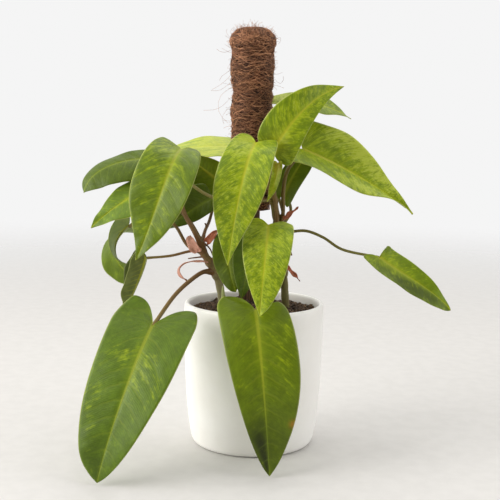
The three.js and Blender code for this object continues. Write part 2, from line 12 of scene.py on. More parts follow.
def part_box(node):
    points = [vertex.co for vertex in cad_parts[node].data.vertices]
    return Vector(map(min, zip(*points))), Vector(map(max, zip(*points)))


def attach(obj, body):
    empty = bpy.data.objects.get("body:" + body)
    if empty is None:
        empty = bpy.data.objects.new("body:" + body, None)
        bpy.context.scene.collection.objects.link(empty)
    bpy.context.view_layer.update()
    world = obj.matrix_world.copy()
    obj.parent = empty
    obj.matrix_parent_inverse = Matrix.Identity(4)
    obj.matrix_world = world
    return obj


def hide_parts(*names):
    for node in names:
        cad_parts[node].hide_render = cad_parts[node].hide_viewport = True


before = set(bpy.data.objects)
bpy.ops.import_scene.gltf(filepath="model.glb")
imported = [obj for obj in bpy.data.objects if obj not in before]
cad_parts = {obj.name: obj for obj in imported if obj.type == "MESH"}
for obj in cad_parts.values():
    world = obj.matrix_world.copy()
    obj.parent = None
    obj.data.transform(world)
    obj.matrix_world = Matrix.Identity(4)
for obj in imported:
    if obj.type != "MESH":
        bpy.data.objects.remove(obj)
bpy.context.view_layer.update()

MM = 0.001
TURN = 2 * math.pi
SEED = 11

# Floor, in metres: its radius, and where it starts to fade and is gone
FLOOR_RADIUS = 2.6
FADE_START = 0.5
FADE_END = 2.4

# Camera: fitted to the pot's rim, foot and soil line
PHOTO_SIDE = 500
FOCAL_PIXELS = 923
SENSOR = 0.036
CAMERA_PLACE = (-0.0048, -0.920, 0.313)
CAMERA_PITCH = 7.3
CAMERA_ROLL = 0.87

# Pot, in millimetres: radii and heights of the flat foot, of the curve up and over the lip, and
# of the inside down to the middle of the floor
POT_FOOT = [(0, 0), (30, 0), (54, 0)]
POT_CURVE = [
    (57, 0), (60.2, 1.3), (61.8, 4), (64.8, 20), (67.6, 48), (69.2, 80), (69.9, 110),
    (70, 139.5), (69.2, 142), (67.5, 143), (65.8, 142.2), (65.1, 140), (65, 135),
]
POT_WELL = [
    (64.3, 100), (63.6, 70), (62.5, 48), (61, 28), (59.5, 12), (57.5, 8), (54, 7), (30, 7), (0, 7),
]
POT_STEP = 3.0
POT_SIDES = 144

# Soil, in millimetres
SOIL_RADIUS = 64.5
SOIL_HEIGHT = 134
SOIL_FLOOR = 7.6
SOIL_WALL = [(57.2, SOIL_FLOOR), (60.7, 28), (63.3, 70), (SOIL_RADIUS, 128), (SOIL_RADIUS, SOIL_HEIGHT)]
SOIL_RINGS = 64
SOIL_SIDES = 160
SOIL_SINK = 0.6
SOIL_MOUND = 13
SOIL_MOUND_REACH = 30
SOIL_LUMP = 0.5
SOIL_CRUMBLE = 0.7
SOIL_FINE_CRUMBLE = 0.4

# Crumbs and chips on the soil: how many, how far from the wall, and their sizes
CRUMBS = 2600
CRUMB_INSET = 2
CRUMB_SMALLEST = 0.45
CRUMB_EXTRA = 0.5
CRUMB_LARGEST = 2.4
CHIPS = 420
CHIP_INSET = 4
CHIP_LENGTHS = (1.5, 5)
CHIP_WIDTHS = (0.5, 1.4)
CHIP_THICKNESS = 0.4
CHIP_LEAN = 0.35

# Coir pole, in millimetres: its grooved stake, and heights and radii of the sleeve's bulges and pinches
POLE_X = -5.5
SLEEVE_X = -4.9
STAKE_RADIUS = 10
STAKE_SIDES = 96
STAKE_BEVEL = 0.6
STAKE_GROOVE = 0.02
STAKE_GROOVES = 9
SLEEVE_FOOT = 236
SLEEVE_TOP = 413
SLEEVE_BANDS = [
    (236, 19.4), (248, 20.6), (262, 19.8), (278, 20.8), (292, 19.7), (306, 20.3), (320, 19.9),
    (333, 21.3), (342.5, 19.6), (348, 20.6), (353.5, 19.4), (360, 20.9), (367, 20.6), (376.5, 22),
    (387, 20.3), (392.5, 20.5), (399, 23), (403, 22.4),
]
SLEEVE_LUMP = 0.3

# Pinches of the sleeve are deeper than its bands say, and the strands that lie in them are darkened with
# painted shade
PINCH_BELOW = 20.6
PINCH_DEEPER = 0.7
PINCH_RADII = (19.2, 20.8)
PAINTED_PINCH_LIGHT = 0.45

# Cap of the sleeve: how far it falls to its edge, and how square its shoulder is
CAP_FALL = 10
CAP_SQUARE = 4.5

# Core under the strands: how far in it lies, its sides and rings, and the shares of the climb from
# its foot to its top where the side starts and where the cap starts
CORE_DEPTH = 1.6
CORE_CAP_DEPTH = 0.4
CORE_ROUGH = 0.35
CORE_SIDES = 144
CORE_RINGS = 100
CORE_EDGES = (0.06, 0.84)

# Strands and loose hairs: how many, points on each, and their radii in millimetres
WOUND_STRANDS = 4400
CAP_STRANDS = 1100
LOOSE_HAIRS = 1500
STRAND_POINTS = 9
HAIR_POINTS = 7
WOUND_RADII = (0.12, 0.27)
CAP_RADII = (0.12, 0.26)
HAIR_RADII = (0.07, 0.13)
HAIRS_ON_CAP = 0.25
HAIR_HEIGHTS = (250, 404)
HAIR_TOP = 422

# How the strands lie. Wound strands: radians round the sleeve, slant, curl, how far the ends are
# tucked in, how far above the side they may start and end, and how they lean over the shoulder.
# All strands: how they weave, the thickness of their layer, and how deep its lowest ones lie.
# Cap strands: their lengths, their bow, and how far they bend down past the edge.
WOUND_SPANS = (0.3, 1.5)
WOUND_SLANT = 8.5
WOUND_CURL = 1.2
WOUND_CURLS = (0.5, 1.3)
WOUND_TUCK = 0.8
WOUND_STARTS_ABOVE = 3
WOUND_ENDS_ABOVE = 5
WOUND_LEAN = 0.5
WEAVE = 0.4
WEAVES = (0.6, 1.6)
STRAND_LAYER = 1.6
WOUND_SUNK = 1.2
CAP_SUNK = 1.1
CAP_LENGTHS = (6, 22)
CAP_BOW = 4
CAP_BEND = 7

# How the hairs stand: how far in they start, their shortest, usual extra and longest lengths, how
# far they rise or lean, how far they stray from that, and how far they bend
HAIR_ROOT = 0.8
HAIR_SHORTEST = 1.8
CAP_HAIR_EXTRA = 1.8
CAP_HAIR_LONGEST = 9
CAP_HAIR_RISE = 1.1
CAP_HAIR_STRAY = 0.45
SIDE_HAIR_EXTRA = 2.4
SIDE_HAIR_LONGEST = 20
SIDE_HAIR_LEAN = 0.8
SIDE_HAIR_STRAY = 0.4
HAIR_BENDS = (0.1, 0.5)

# Routes of the long hairs that the front view shows, and their radius
SHOWN_HAIRS = [
    [(-26, -3, 361), (-30, -10, 357), (-37, -14, 352), (-45, -14, 352)],
    [(-27, -3, 345), (-32, -12, 339), (-40, -14, 334), (-52, -14, 333)],
    [(-25, -3, 356), (-35, -12, 348), (-38, -14, 339), (-36, -12, 329), (-28, -8, 321)],
    [(-26, -3, 368), (-31, -10, 362), (-37, -12, 357), (-44, -12, 353)],
    [(-27, -3, 337), (-31, -9, 332), (-34, -9, 326), (-32, -8, 320)],
    [(-11, -4, 408), (-7, -6, 413), (-3, -6, 417), (0, -6, 420)],
    [(-8, 0, 412), (-3, -2, 414), (2, -2, 418), (4, -2, 419)],
    [(-26, -4, 403), (-29, -8, 405), (-31, -8, 409), (-30, -8, 411)],
    [(-25, -4, 405), (-27, -6, 409), (-26, -6, 411), (-24, -6, 413)],
    [(18, -4, 363), (22, -8, 360), (25, -8, 363), (25, -8, 367)],
    [(17, -4, 403), (21, -6, 404), (22, -6, 402), (20, -6, 398)],
    [(-26, -3, 392), (-32, -8, 389), (-37, -8, 390), (-40, -8, 392)],
    [(-26, -3, 373), (-31, -8, 369), (-35, -8, 366), (-37, -8, 362)],
    [(-18, 0, 410), (-16, -3, 415), (-14, -3, 417), (-11, -3, 416)],
]
SHOWN_HAIR_RADIUS = 0.12
SHOWN_HAIR_STEP = 3

# Blades, in millimetres: the same half outline as the solids
BLADE_THICKNESS = 0.55
BLADE_RIM = 0.45
EDGE_ROW = 0.97
DOUBLES = 0.02
GRID_ALONG = 88
GRID_ACROSS = 15
SHOULDER = (0.6, 0.6)
WIDEST = (0.22, 0.22)
BELLY = (0.35, 0.35)
FLANK = (0.4, 0.4)
WAVE = (1, 1)
WAVES = 2.5
LOBE_END = 0.2
WIDEST_END = 0.46
LOBE_START = 0.22
LOBE_TURN = 0.52
LOBE_DEPTH = 0.55
SHOULDER_OUT = 0.55
SHOULDER_UP = 0.55
TIP_SLIM = 0.8
TIP_FULL = 0.16
VEIN_LEAN = 1.5
LATERALS = 10
FINE_VEINS = 7
LANE_LEAN = 0.45
LANE_BOW = 0.45
LANE_FAN = 0.35

# Relief of the blades: the pillows between veins as a share of the wider half, how far the veins
# sway, the trough over the midrib, and how high and how many the slow and the small waves are
PILLOW = 0.014
PILLOW_SHAPE = 0.7
VEIN_SWAY = 0.012
TROUGH_DEPTH = 0.3
TROUGH_WIDTH = 1.6
SLOW_WAVE = 1.1
SLOW_WAVES = 1.3
SMALL_WAVE = 0.3
SMALL_WAVES = 5.3

# Rib under a blade: its stations, where it starts and ends, and its radius, which is a share of
# the wider half and a little more at the petiole, and tapers to the tip
RIB_STATIONS = 26
RIB_START = 0.2
RIB_REACH = 0.93
RIB_SHARE = 0.018
RIB_MORE = 0.4
RIB_TAPER = 0.8
RIB_TIP = 0.16

# Each blade as in the solids, and how it looks: mottle is the share of yellow flecks, depth how
# dark its green is (2 is darkest; above 1 it is painted shade that darkens the whole blade), cool how
# far it leans to blue, blush how orange its base is.
# Patches change a blade in places: spots its mottle, shades its depth as painted shade, and marks
# are brown spots.
# A patch is its share of the midrib, its row across, its reach along and across, and its amount.
LEAVES = {
    "leaf_A": dict(
        base=(-1, -46, 303), tip=(-25, -82, 191), leave=(-9, -32, -14), arrive=(-6, -4, -50),
        face=(-0.15, -1, 0.25), sides=(26, 24.5), lobe=(9, 10), fold=(10, 10), roll=(-10, -10),
        shoulder=(0.55, 0.68), widest=(0.37, 0.3), belly=(0.35, 0.2),
        look=dict(mottle=0.68, depth=0.26, cool=0.25),
        spots=[(0, -0.5, 0.15, 0.5, 0.3)],
    ),
    "leaf_B": dict(
        base=(-71, -50, 296), tip=(-108, -92, 196), leave=(-8, -34, -10), arrive=(-18, -6, -42),
        face=(-0.2, -1, 0.35), sides=(31, 27.5), lobe=(9, 8), fold=(10, 10), roll=(-10, -10),
        shoulder=(0.6, 0.32), widest=(0.39, 0.38), belly=(0.25, 0.38),
        look=dict(mottle=0.4, depth=0.62, cool=0.3),
        spots=[(0, -0.4, 0.2, 0.6, 0.3)],
    ),
    "leaf_C": dict(
        base=(-90, -5, 286), tip=(-167, -25, 252), leave=(-34, -6, 0), arrive=(-6, -8, -28),
        face=(-0.1, -0.7, 0.75), sides=(15, 26), lobe=(12, 12), fold=(0, 0), roll=(-20, -20),
        widest=(0.35, 0.3), belly=(0.8, 0.9),
        look=dict(mottle=0.12, depth=0.85, cool=0.3),
    ),
    "leaf_D": dict(
        base=(-98, -22, 262), tip=(-156, -50, 220.5), leave=(-22, -10, -12), arrive=(-18, -6, -18),
        face=(-0.35, -0.8, 0.5), sides=(16, 25), lobe=(12, 12), fold=(10, 10), roll=(-10, -10),
        widest=(0.4, 0.4),
        look=dict(mottle=0.35, depth=0.45, cool=0.5),
    ),
    "leaf_E": dict(
        base=(-126, -8, 218), tip=(-119, 2, 163), leave=(-24, 0, -18), arrive=(22, 4, -14),
        face=(-0.87, -0.5, 0), sides=(21, 19), lobe=(8, 8), fold=(10, 10), roll=(10, 10),
        twist=-140, widest=(0.5, 0.5), belly=(0.8, 0.8),
        look=dict(mottle=0.2, depth=0.65, cool=0.2),
    ),
    "leaf_F": dict(
        base=(-107, -24, 189), tip=(-125, -32, 138), leave=(-2, -3, -15), arrive=(-5, -2, -15),
        face=(-1, -0.2, 0.2), sides=(16, 16), lobe=(8, 8), fold=(62, 62), roll=(10, 10),
        belly=(0.6, 0.6),
        # Depth above 1: the whole blade is darkened with painted shade
        look=dict(mottle=0.2, depth=1.35, cool=0),
    ),
    "leaf_G": dict(
        base=(-94, -80, 134), tip=(-137, -137, 3), leave=(-10, -38, -20), arrive=(-10, -2, -46),
        face=(-0.25, -1, 0.45), sides=(39, 42), lobe=(34, 25), fold=(8, 8), roll=(-6, -6),
        shoulder=(0.74, 0.7), widest=(0.04, 0.02), flank=(0.76, 0.4), belly=(0.64, 0.55),
        look=dict(mottle=0.15, depth=0.7, cool=0.55),
        spots=[
            (0.3, 0.28, 0.12, 0.25, 0.5), (0.25, -0.35, 0.09, 0.25, 0.45),
            (0.55, -0.9, 0.25, 0.3, 0.3), (0.42, 0.8, 0.13, 0.3, 0.3),
        ],
        # Painted shade: darker towards the tip on the left half
        shades=[(0.9, -0.5, 0.2, 0.5, 0.3)],
    ),
    "leaf_H": dict(
        base=(1, -78, 149), tip=(16, -112, 2), leave=(4, -28, -16), arrive=(3, -2, -48),
        face=(0.05, -1, 0.2), sides=(35, 35), lobe=(22, 7), fold=(6, 6), roll=(-14, -8),
        shoulder=(0.7, 0.6), widest=(-0.05, 0.35), flank=(0.3, 0.4), belly=(0.5, 0.5),
        look=dict(mottle=0.12, depth=0.6, cool=0.05),
        spots=[
            (0.22, 0.75, 0.12, 0.35, 0.4), (0.42, 0.6, 0.09, 0.3, 0.3), (0.2, -0.1, 0.15, 0.4, 0.2),
        ],
        # Painted shade: the lower half darker, and a dark crescent on the left half near the tip
        shades=[
            (0.9, 0, 0.35, 2, 0.3), (0.8, -0.5, 0.1, 0.42, 1.1), (0.95, -0.4, 0.08, 0.4, 1.1),
        ],
        marks=[(0.7, 0.97, 0.018, 0.1, 0.9)],
    ),
    "leaf_I": dict(
        base=(12, -52, 226), tip=(5, -96, 147), leave=(0, -28, -4), arrive=(-2, -6, -34),
        face=(-0.1, -1, 0.5), sides=(23, 24.5), lobe=(15, 8), fold=(8, 8), roll=(-8, -8),
        shoulder=(0.45, 0.5), widest=(0.25, 0.2), belly=(0.3, 0.6),
        look=dict(mottle=0.72, depth=0.25, cool=0.2),
    ),
    "leaf_J": dict(
        base=(17, -32, 298), tip=(84, -12, 358), leave=(14, -12, 24), arrive=(30, 14, 6),
        face=(0.35, -0.9, 0.4), sides=(23, 23.5), lobe=(9, 4), fold=(8, 8), roll=(-6, -6),
        shoulder=(0.48, 0.6), widest=(0, 0.22), flank=(0.05, 0.4), belly=(0.35, 0.2),
        look=dict(mottle=0.62, depth=0.26, cool=0.15, blush=0.12),
    ),
    "leaf_K": dict(
        base=(30, 18, 341), tip=(96, 28, 327.5), leave=(22, 4, 4), arrive=(24, 4, -14),
        face=(0.1, -0.5, 0.85), sides=(19, 21), lobe=(15, 18), fold=(6, 6), roll=(-6, -6),
        widest=(0.22, 0.12),
        look=dict(mottle=0.5, depth=0.36, cool=0),
        spots=[(0, 0.5, 0.35, 1, 0.45)],
    ),
    "leaf_L": dict(
        base=(47, 5, 296), tip=(156, -10, 235), leave=(32, -6, -12), arrive=(26, -6, -22),
        face=(0.2, -0.62, 0.78), sides=(32.5, 36.5), lobe=(10, 12), fold=(18, 26), roll=(-8, -8),
        shoulder=(0.9, 0.9), widest=(0.25, 0.2), belly=(0.2, 0.1), wave=(3, -1), phase=1.8,
        look=dict(mottle=0.6, depth=0.2, cool=0),
        spots=[(0.5, 0.9, 0.4, 0.45, 0.6), (0.6, -0.8, 0.25, 0.5, 0.3)],
    ),
    "leaf_M": dict(
        base=(122, -24, 193.5), tip=(191, -38, 144), leave=(18, -4, -15), arrive=(16, -4, -20),
        face=(0.3, -0.8, 0.6), sides=(18, 17), lobe=(12, 1), fold=(-4, 10), roll=(20, 5),
        shoulder=(0.6, 0.8), widest=(0.3, 0.05), belly=(0.8, 0.35),
        look=dict(mottle=0.5, depth=0.34, cool=0.1),
        spots=[(0.8, 0, 0.3, 1, -0.4)],
        # Painted shade over the lower half
        shades=[(0.55, -0.6, 0.5, 0.6, 0.75)],
    ),
    "leaf_N": dict(
        base=(-14, 36, 297), tip=(-101, 40, 288), leave=(-26, 2, 3), arrive=(-26, 2, -8),
        face=(0, -0.42, 0.9), sides=(22, 23), lobe=(8, 8), fold=(2, 2), roll=(-6, -6),
        belly=(0.8, 0.8),
        look=dict(mottle=0.9, depth=0, cool=0),
    ),
    "leaf_O": dict(
        base=(-34, 20, 262), tip=(-73, 8, 287), leave=(-16, -2, 8), arrive=(-16, -4, 6),
        face=(0.1, -1, 0), sides=(16, 22), lobe=(10, 10), fold=(4, 4), roll=(-6, -6),
        look=dict(mottle=0.12, depth=0.3, cool=0.1),
    ),
    "leaf_P": dict(
        base=(-43, 2, 247), tip=(-94, 4, 214), leave=(-20, 0, -12), arrive=(-18, 2, -12),
        face=(-0.1, -1, 0.2), sides=(22, 13), lobe=(1, 4), fold=(14, 14), roll=(-6, -6),
        widest=(0.35, 0.3),
        look=dict(mottle=0.12, depth=0.95, cool=0.3),
    ),
    "leaf_Q": dict(
        base=(30, 6, 254), tip=(57, 26, 300), leave=(6, 4, 16), arrive=(10, 6, 16),
        face=(0.2, -1, 0.1), sides=(12, 13), lobe=(14, 12), fold=(6, 6), roll=(-6, -6),
        widest=(0.5, 0.3), belly=(0.75, 0.35),
        look=dict(mottle=0.15, depth=0.66, cool=0.15),
    ),
    "leaf_R": dict(
        base=(20.5, -34.5, 283), tip=(11, -41, 247), leave=(0, -1, -12), arrive=(-6, -2, -14),
        face=(-0.3, -1, 0.1), sides=(5.5, 5.5), lobe=(3, 3), fold=(10, 10), roll=(10, 10),
        look=dict(mottle=0.8, depth=0.35, cool=0, blush=0.9),
    ),
    "leaf_S": dict(
        base=(-26, -26, 208), tip=(-18, -34, 158), leave=(-2, -8, -14), arrive=(6, 0, -16),
        face=(-0.2, -1, 0.2), sides=(15, 15), lobe=(8, 8), fold=(8, 8), roll=(-6, -6),
        belly=(0.7, 0.5),
        look=dict(mottle=0.2, depth=0.8, cool=0.1),
    ),
    "leaf_T": dict(
        base=(-3, -36, 210), tip=(-12, -44, 153), leave=(-2, -8, -16), arrive=(-2, 2, -16),
        face=(0.1, -1, 0.2), sides=(17, 14), lobe=(8, 8), fold=(16, 16), roll=(-4, -4),
        look=dict(mottle=0.1, depth=0.9, cool=0.5),
    ),
}

# The finish of each leaf that isn't mottled
FINISHES = {"leaf_" + letter: "leaf_dark" for letter in "EFOPQST"}
FINISHES["leaf_N"] = "leaf_lime"

# Dry sheaths: their grid, and how deep and how many the crumples across and along them are
SHEATH_THICKNESS = 0.5
SHEATH_RIM = 0.5
SHEATH_ALONG = 44
SHEATH_ACROSS = 8
CRUMPLE_ACROSS = 0.1
CRUMPLES_ACROSS = 9
CRUMPLE_ALONG = 0.12
CRUMPLES_ALONG = 3.2

# Each sheath as in the solids, with its colour: tan (0), rust (1) or pink (2)
SHEATHS = {
    "sheath_right_upper": dict(
        base=(28.3, -16.3, 229), tip=(42, -20, 241), leave=(5, -2, 3), arrive=(5, -1, 5),
        face=(-0.5, -0.8, 0.6), sides=(3.2, 3.2), fold=(12, 12), roll=(20, 20), colour=1,
    ),
    "sheath_right_lower": dict(
        base=(32.3, 0.4, 178), tip=(46, -5, 165), leave=(5, -2, -4), arrive=(4, -1, -4),
        face=(0.5, -0.8, 0.5), sides=(3, 3), fold=(10, 10), roll=(20, 20), colour=1,
    ),
    "sheath_left_pink": dict(
        base=(-56, -22.4, 196), tip=(-63, -28, 212), leave=(-4, -3, 6), arrive=(1, 0, 6),
        face=(-0.3, -1, 0), sides=(6, 6), fold=(0, 0), roll=(40, 40), belly=(0.9, 0.9), colour=2,
    ),
    "sheath_left_red": dict(
        base=(-47, -21, 205), tip=(-37, -24, 217), leave=(3, -3, 4), arrive=(4, 0, 4),
        face=(0, -1, 0.2), sides=(4, 4), fold=(8, 8), roll=(30, 30), belly=(0.8, 0.8), colour=1,
    ),
    "sheath_left_tan": dict(
        base=(-37.5, -13, 190), tip=(-36, -10, 209), leave=(4, -1, 6), arrive=(-1, 1, 6),
        face=(0.2, -1, 0.1), sides=(4.5, 4.5), fold=(8, 8), roll=(30, 30), belly=(0.8, 0.8), colour=0,
    ),
    "sheath_left_curl": dict(
        base=(-47, -23.6, 185), tip=(-66, -30, 168), leave=(-24, -6, 6), arrive=(16, 0, -8),
        face=(-0.64, -0.2, 0.72), sides=(2.4, 2.4), fold=(10, 10), roll=(20, 20),
        belly=(0.9, 0.9), colour=2,
    ),
}

# Stems and roots, in millimetres: their radii, their joints with a scar ring to either side, where
# the stems turn pale, how far apart the places on a path are, and the gap under a blade
STEM_RADIUS = 4
STEM_SWELL = 0.16
JOINT_RADIUS = 4.9
JOINT_REACH = 3.4
SCAR_AWAY = 5.4
SCAR_DEPTH = 0.35
PALE_BELOW = 185
PALE_FADE = 30
STEM_STEP = 1.6
PETIOLE_STEP = 2.0
ROOT_STEP = 1.5
ROOT_TAPER = (1.1, 0.7)
ROOT_BROWN = 0.9
BLADE_GAP = 0.35

# Petioles: how brown and young they are, how far they swell where they clasp the stem and under
# the blade, by share of the radius and reach, and how far they taper
PETIOLE_BROWN = 0.35
PETIOLE_YOUNG = 0.35
CLASP = 0.55
CLASP_REACH = 7
KNUCKLE = 0.12
KNUCKLE_REACH = 6
PETIOLE_TAPER = 0.12

# Streaks of the stems: how fine they are across, and along
STREAK_ACROSS = 2.2
STREAK_ALONG = 0.12

# Each stem: its route from the soil, the places of its joints, how brown, pale and young it is,
# how brown its browner petioles are, and each petiole and root by radius and route
LEFT_STEM = dict(
    foot=[(-25, -13.8, 94), (-31.6, -14.9, 142), (-33.8, -15.3, 158)],
    climb=[(-38, -16, 172), (-45, -17, 185), (-52, -18, 197), (-53, -18, 205)],
    joints=[(-38, -16, 172), (-45, -17, 185), (-52, -18, 197)],
    tone=(0.35, 0.75, 0.0),
    browns={"leaf_G": 0.8, "leaf_B": 0.75, "leaf_F": 0.8, "leaf_E": 0.5, "leaf_P": 0.8},
    petioles={
        "leaf_B": (2.3, [(-52, -18, 198), (-60, -23, 216), (-70, -27, 236), (-75, -36, 270)]),
        "leaf_D": (1.8, [(-52, -17, 203), (-63, -12, 222), (-80, -10, 240)]),
        "leaf_E": (
            1.8,
            [(-50, -17, 193), (-66, -14, 200), (-79, -14, 220), (-96, -11, 231), (-114, -9, 227)],
        ),
        "leaf_F": (1.5, [(-51, -18, 195), (-61, -20, 196), (-83, -22, 191)]),
        "leaf_G": (2.3, [(-42, -17, 175), (-50, -25, 176), (-61, -36, 170), (-75, -50, 158)]),
        "leaf_P": (1.8, [(-52, -18, 204), (-50, -8, 214), (-46, 6, 224), (-43, 14, 238)]),
    },
    roots=[
        (0.9, [(-50, -17, 190), (-58, -17, 189), (-66, -18, 188)]),
        (0.9, [(-50, -17, 204), (-44, -15, 197), (-40, -14, 186)]),
        (1.2, [(-48, -2, 218), (-50, -5, 222)]),
    ],
)
RIGHT_STEM = dict(
    foot=[(35.5, 13, 94), (32, 9, 142), (30.8, 7.7, 158)],
    climb=[(27, 1, 195), (22, -8, 222), (17.5, -16, 247), (13, -24, 270), (11, -28, 284)],
    joints=[(29, 5, 172), (27, 1, 195), (22, -8, 222), (17.5, -16, 247), (13, -24, 270)],
    tone=(0.3, 0.3, 0.0),
    browns={"leaf_M": 0.25, "leaf_H": 0.5, "leaf_L": 0.6, "leaf_J": 0.7},
    petioles={
        "leaf_A": (2, [(13, -24, 268), (14, -32, 284)]),
        "leaf_C": (
            1.8,
            [(17.5, -16, 247), (4, -30, 247), (-20, -31, 246), (-44, -22, 250), (-62, -14, 260)],
        ),
        "leaf_H": (2.2, [(29, 4, 174), (24, -20, 172), (11, -48, 159)]),
        "leaf_I": (1.8, [(22, -8, 220), (20, -24, 223)]),
        "leaf_J": (2, [(22, -9, 218), (21, -18, 232), (18, -23, 252), (12, -26, 276), (11, -26, 287)]),
        "leaf_K": (1.8, [(11, -28, 283), (18, -16, 305), (26, 2, 324)]),
        "leaf_L": (2.1, [(23, -9, 214), (27, -13, 232), (27, -15, 256), (31, -9, 276)]),
        "leaf_M": (
            1.6, [(23, -6, 214), (36, -15, 216), (50, -16, 217), (67, -18, 211), (85, -20, 200)],
        ),
        "leaf_N": (1.8, [(22, -8, 219), (29, 8, 222), (24, 28, 246), (8, 37, 276)]),
        "leaf_O": (1.8, [(28, 3, 190), (16, 22, 206), (-10, 27, 226)]),
        "leaf_Q": (1.8, [(22, -8, 219), (28, 6, 221), (36, 16, 234)]),
        "leaf_R": (1.4, [(13, -24, 270), (21, -15, 277)]),
        "leaf_S": (1.6, [(28, 2, 188), (10, -19, 203), (-10, -20, 209)]),
        "leaf_T": (1.6, [(28, 2, 188), (14, -20, 202)]),
    },
    roots=[(1.3, [(27, 1, 195), (34, -4, 197), (37, -6, 191)])],
)

# Pale shoot by the left stem: its ends, and its radius as a share at shares of its length
SHOOT_FOOT = (-29, -25, 130)
SHOOT_TOP = (-31, -26, 163)
SHOOT_RADIUS = 2.2
SHOOT_SPINDLE = [(0, 0), (0.8, 0.01), (1, 0.2), (1, 0.55), (0.72, 0.83), (0.3, 0.97), (0, 1)]

# A stem's tubes are joined into one skin in blocks of this size, and this share of its faces stays
STEM_BLOCK = 0.55
STEM_KEEP = 0.45


def srgb(red, green, blue):
    """A colour given as on a screen, 0 to 255, as the linear RGBA that a shader takes."""
    def linear(level):
        share = level / 255
        return share / 12.92 if share <= 0.04045 else ((share + 0.055) / 1.055) ** 2.4
    return (linear(red), linear(green), linear(blue), 1.0)


def unit(vectors):
    """The vectors at a length of one."""
    return vectors / np.linalg.norm(vectors, axis=-1, keepdims=True)


def deselect():
    for thing in bpy.context.selected_objects:
        thing.select_set(False)


def activate(piece):
    deselect()
    piece.select_set(True)
    bpy.context.view_layer.objects.active = piece


def new_piece(name):
    """The object that the last operator made, renamed."""
    piece = bpy.context.object
    piece.name = name
    piece.data.name = name
    return piece


def get_places(piece):
    """Places of the piece's points, one row each."""
    places = np.empty(len(piece.data.vertices) * 3)
    piece.data.vertices.foreach_get("co", places)
    return places.reshape(-1, 3)


def set_places(piece, places):
    piece.data.vertices.foreach_set("co", np.ascontiguousarray(places).ravel())
    piece.data.update()


def apply_modifier(piece, kind, **settings):
    activate(piece)
    modifier = piece.modifiers.new(kind.title(), kind)
    for name, value in settings.items():
        setattr(modifier, name, value)
    bpy.ops.object.modifier_apply(modifier=modifier.name)


def merge_doubles(piece, distance):
    activate(piece)
    bpy.ops.object.mode_set(mode="EDIT")
    bpy.ops.mesh.select_all(action="SELECT")
    bpy.ops.mesh.remove_doubles(threshold=distance)
    bpy.ops.object.mode_set(mode="OBJECT")


def smooth(piece, degrees=None):
    activate(piece)
    if degrees is None:
        bpy.ops.object.shade_smooth()
    else:
        bpy.ops.object.shade_smooth_by_angle(angle=math.radians(degrees))


def set_uv(piece, name, per_vertex):
    """A UV map with the same value in every corner of a vertex."""
    layer = piece.data.uv_layers.new(name=name)
    corners = np.empty(len(piece.data.loops), np.int32)
    piece.data.loops.foreach_get("vertex_index", corners)
    layer.data.foreach_set("uv", per_vertex[corners].astype(np.float32).ravel())


def set_tone(piece, name, per_vertex):
    """A colour attribute on the vertices, which the piece's material reads."""
    layer = piece.data.color_attributes.new(name=name, type="FLOAT_COLOR", domain="POINT")
    layer.data.foreach_set("color", per_vertex.astype(np.float32).ravel())


def finish_piece(piece, slot, materials, *nodes):
    """Gives the piece its materials and body, and hides the solids that it stands for; slot is not used."""
    for material in materials:
        piece.data.materials.append(material)
    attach(piece, "root")
    if nodes:
        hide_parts(*nodes)
    return piece


# Shader building blocks


class Web:
    """A node tree with short ways to add and link nodes."""

    def __init__(self, tree):
        self.tree = tree

    def give(self, socket, value):
        """Links a socket to the one that is given, or sets its value."""
        if isinstance(value, bpy.types.NodeSocket):
            self.tree.links.new(value, socket)
        else:
            socket.default_value = value

    def add(self, kind, links=None, **settings):
        node = self.tree.nodes.new(kind)
        for name, value in settings.items():
            setattr(node, name, value)
        for socket, value in (links or {}).items():
            self.give(node.inputs[socket], value)
        return node

    def math(self, operation, first, second=0.0, clamp=False):
        node = self.add("ShaderNodeMath", {0: first, 1: second}, operation=operation, use_clamp=clamp)
        return node.outputs[0]

    def ramp(self, value, low, high, to_low=0.0, to_high=1.0):
        links = {"Value": value, "From Min": low, "From Max": high, "To Min": to_low, "To Max": to_high}
        node = self.add("ShaderNodeMapRange", links, interpolation_type="SMOOTHSTEP")
        return node.outputs[0]

    def mix(self, share, first, second, blend="MIX"):
        links = {0: share, 6: first, 7: second}
        node = self.add("ShaderNodeMix", links, data_type="RGBA", blend_type=blend)
        return node.outputs[2]

    def noise(self, vector, scale, detail=3.0, rough=0.55, twist=0.0):
        links = {"Vector": vector, "Scale": scale, "Detail": detail, "Roughness": rough, "Distortion": twist}
        return self.add("ShaderNodeTexNoise", links).outputs["Fac"]

    def stretch(self, vector, scale):
        return self.add("ShaderNodeMapping", {"Vector": vector, "Scale": scale}).outputs[0]

    def bump(self, height, strength, distance):
        links = {"Height": height, "Strength": strength, "Distance": distance}
        return self.add("ShaderNodeBump", links).outputs[0]

    def scaled(self, value, amount):
        return self.math("MULTIPLY", value, amount, clamp=True)

    def blend(self, *parts):
        """The sum of values, each times its weight."""
        total = 0.0
        for value, weight in parts:
            total = self.math("ADD", total, self.math("MULTIPLY", value, weight))
        return total

    def object_place(self):
        return self.add("ShaderNodeTexCoord").outputs["Object"]

    def uv_map(self, name):
        return self.add("ShaderNodeUVMap", uv_map=name).outputs[0]

    def attribute(self, name):
        return self.add("ShaderNodeAttribute", attribute_name=name).outputs

    def split(self, colour):
        return self.add("ShaderNodeSeparateColor", {0: colour}).outputs

    def place_group(self, group, **given):
        """A shared effect with its inputs, given by name with underscores for spaces."""
        links = {name.replace("_", " "): value for name, value in given.items()}
        return self.add("ShaderNodeGroup", links, node_tree=group).outputs


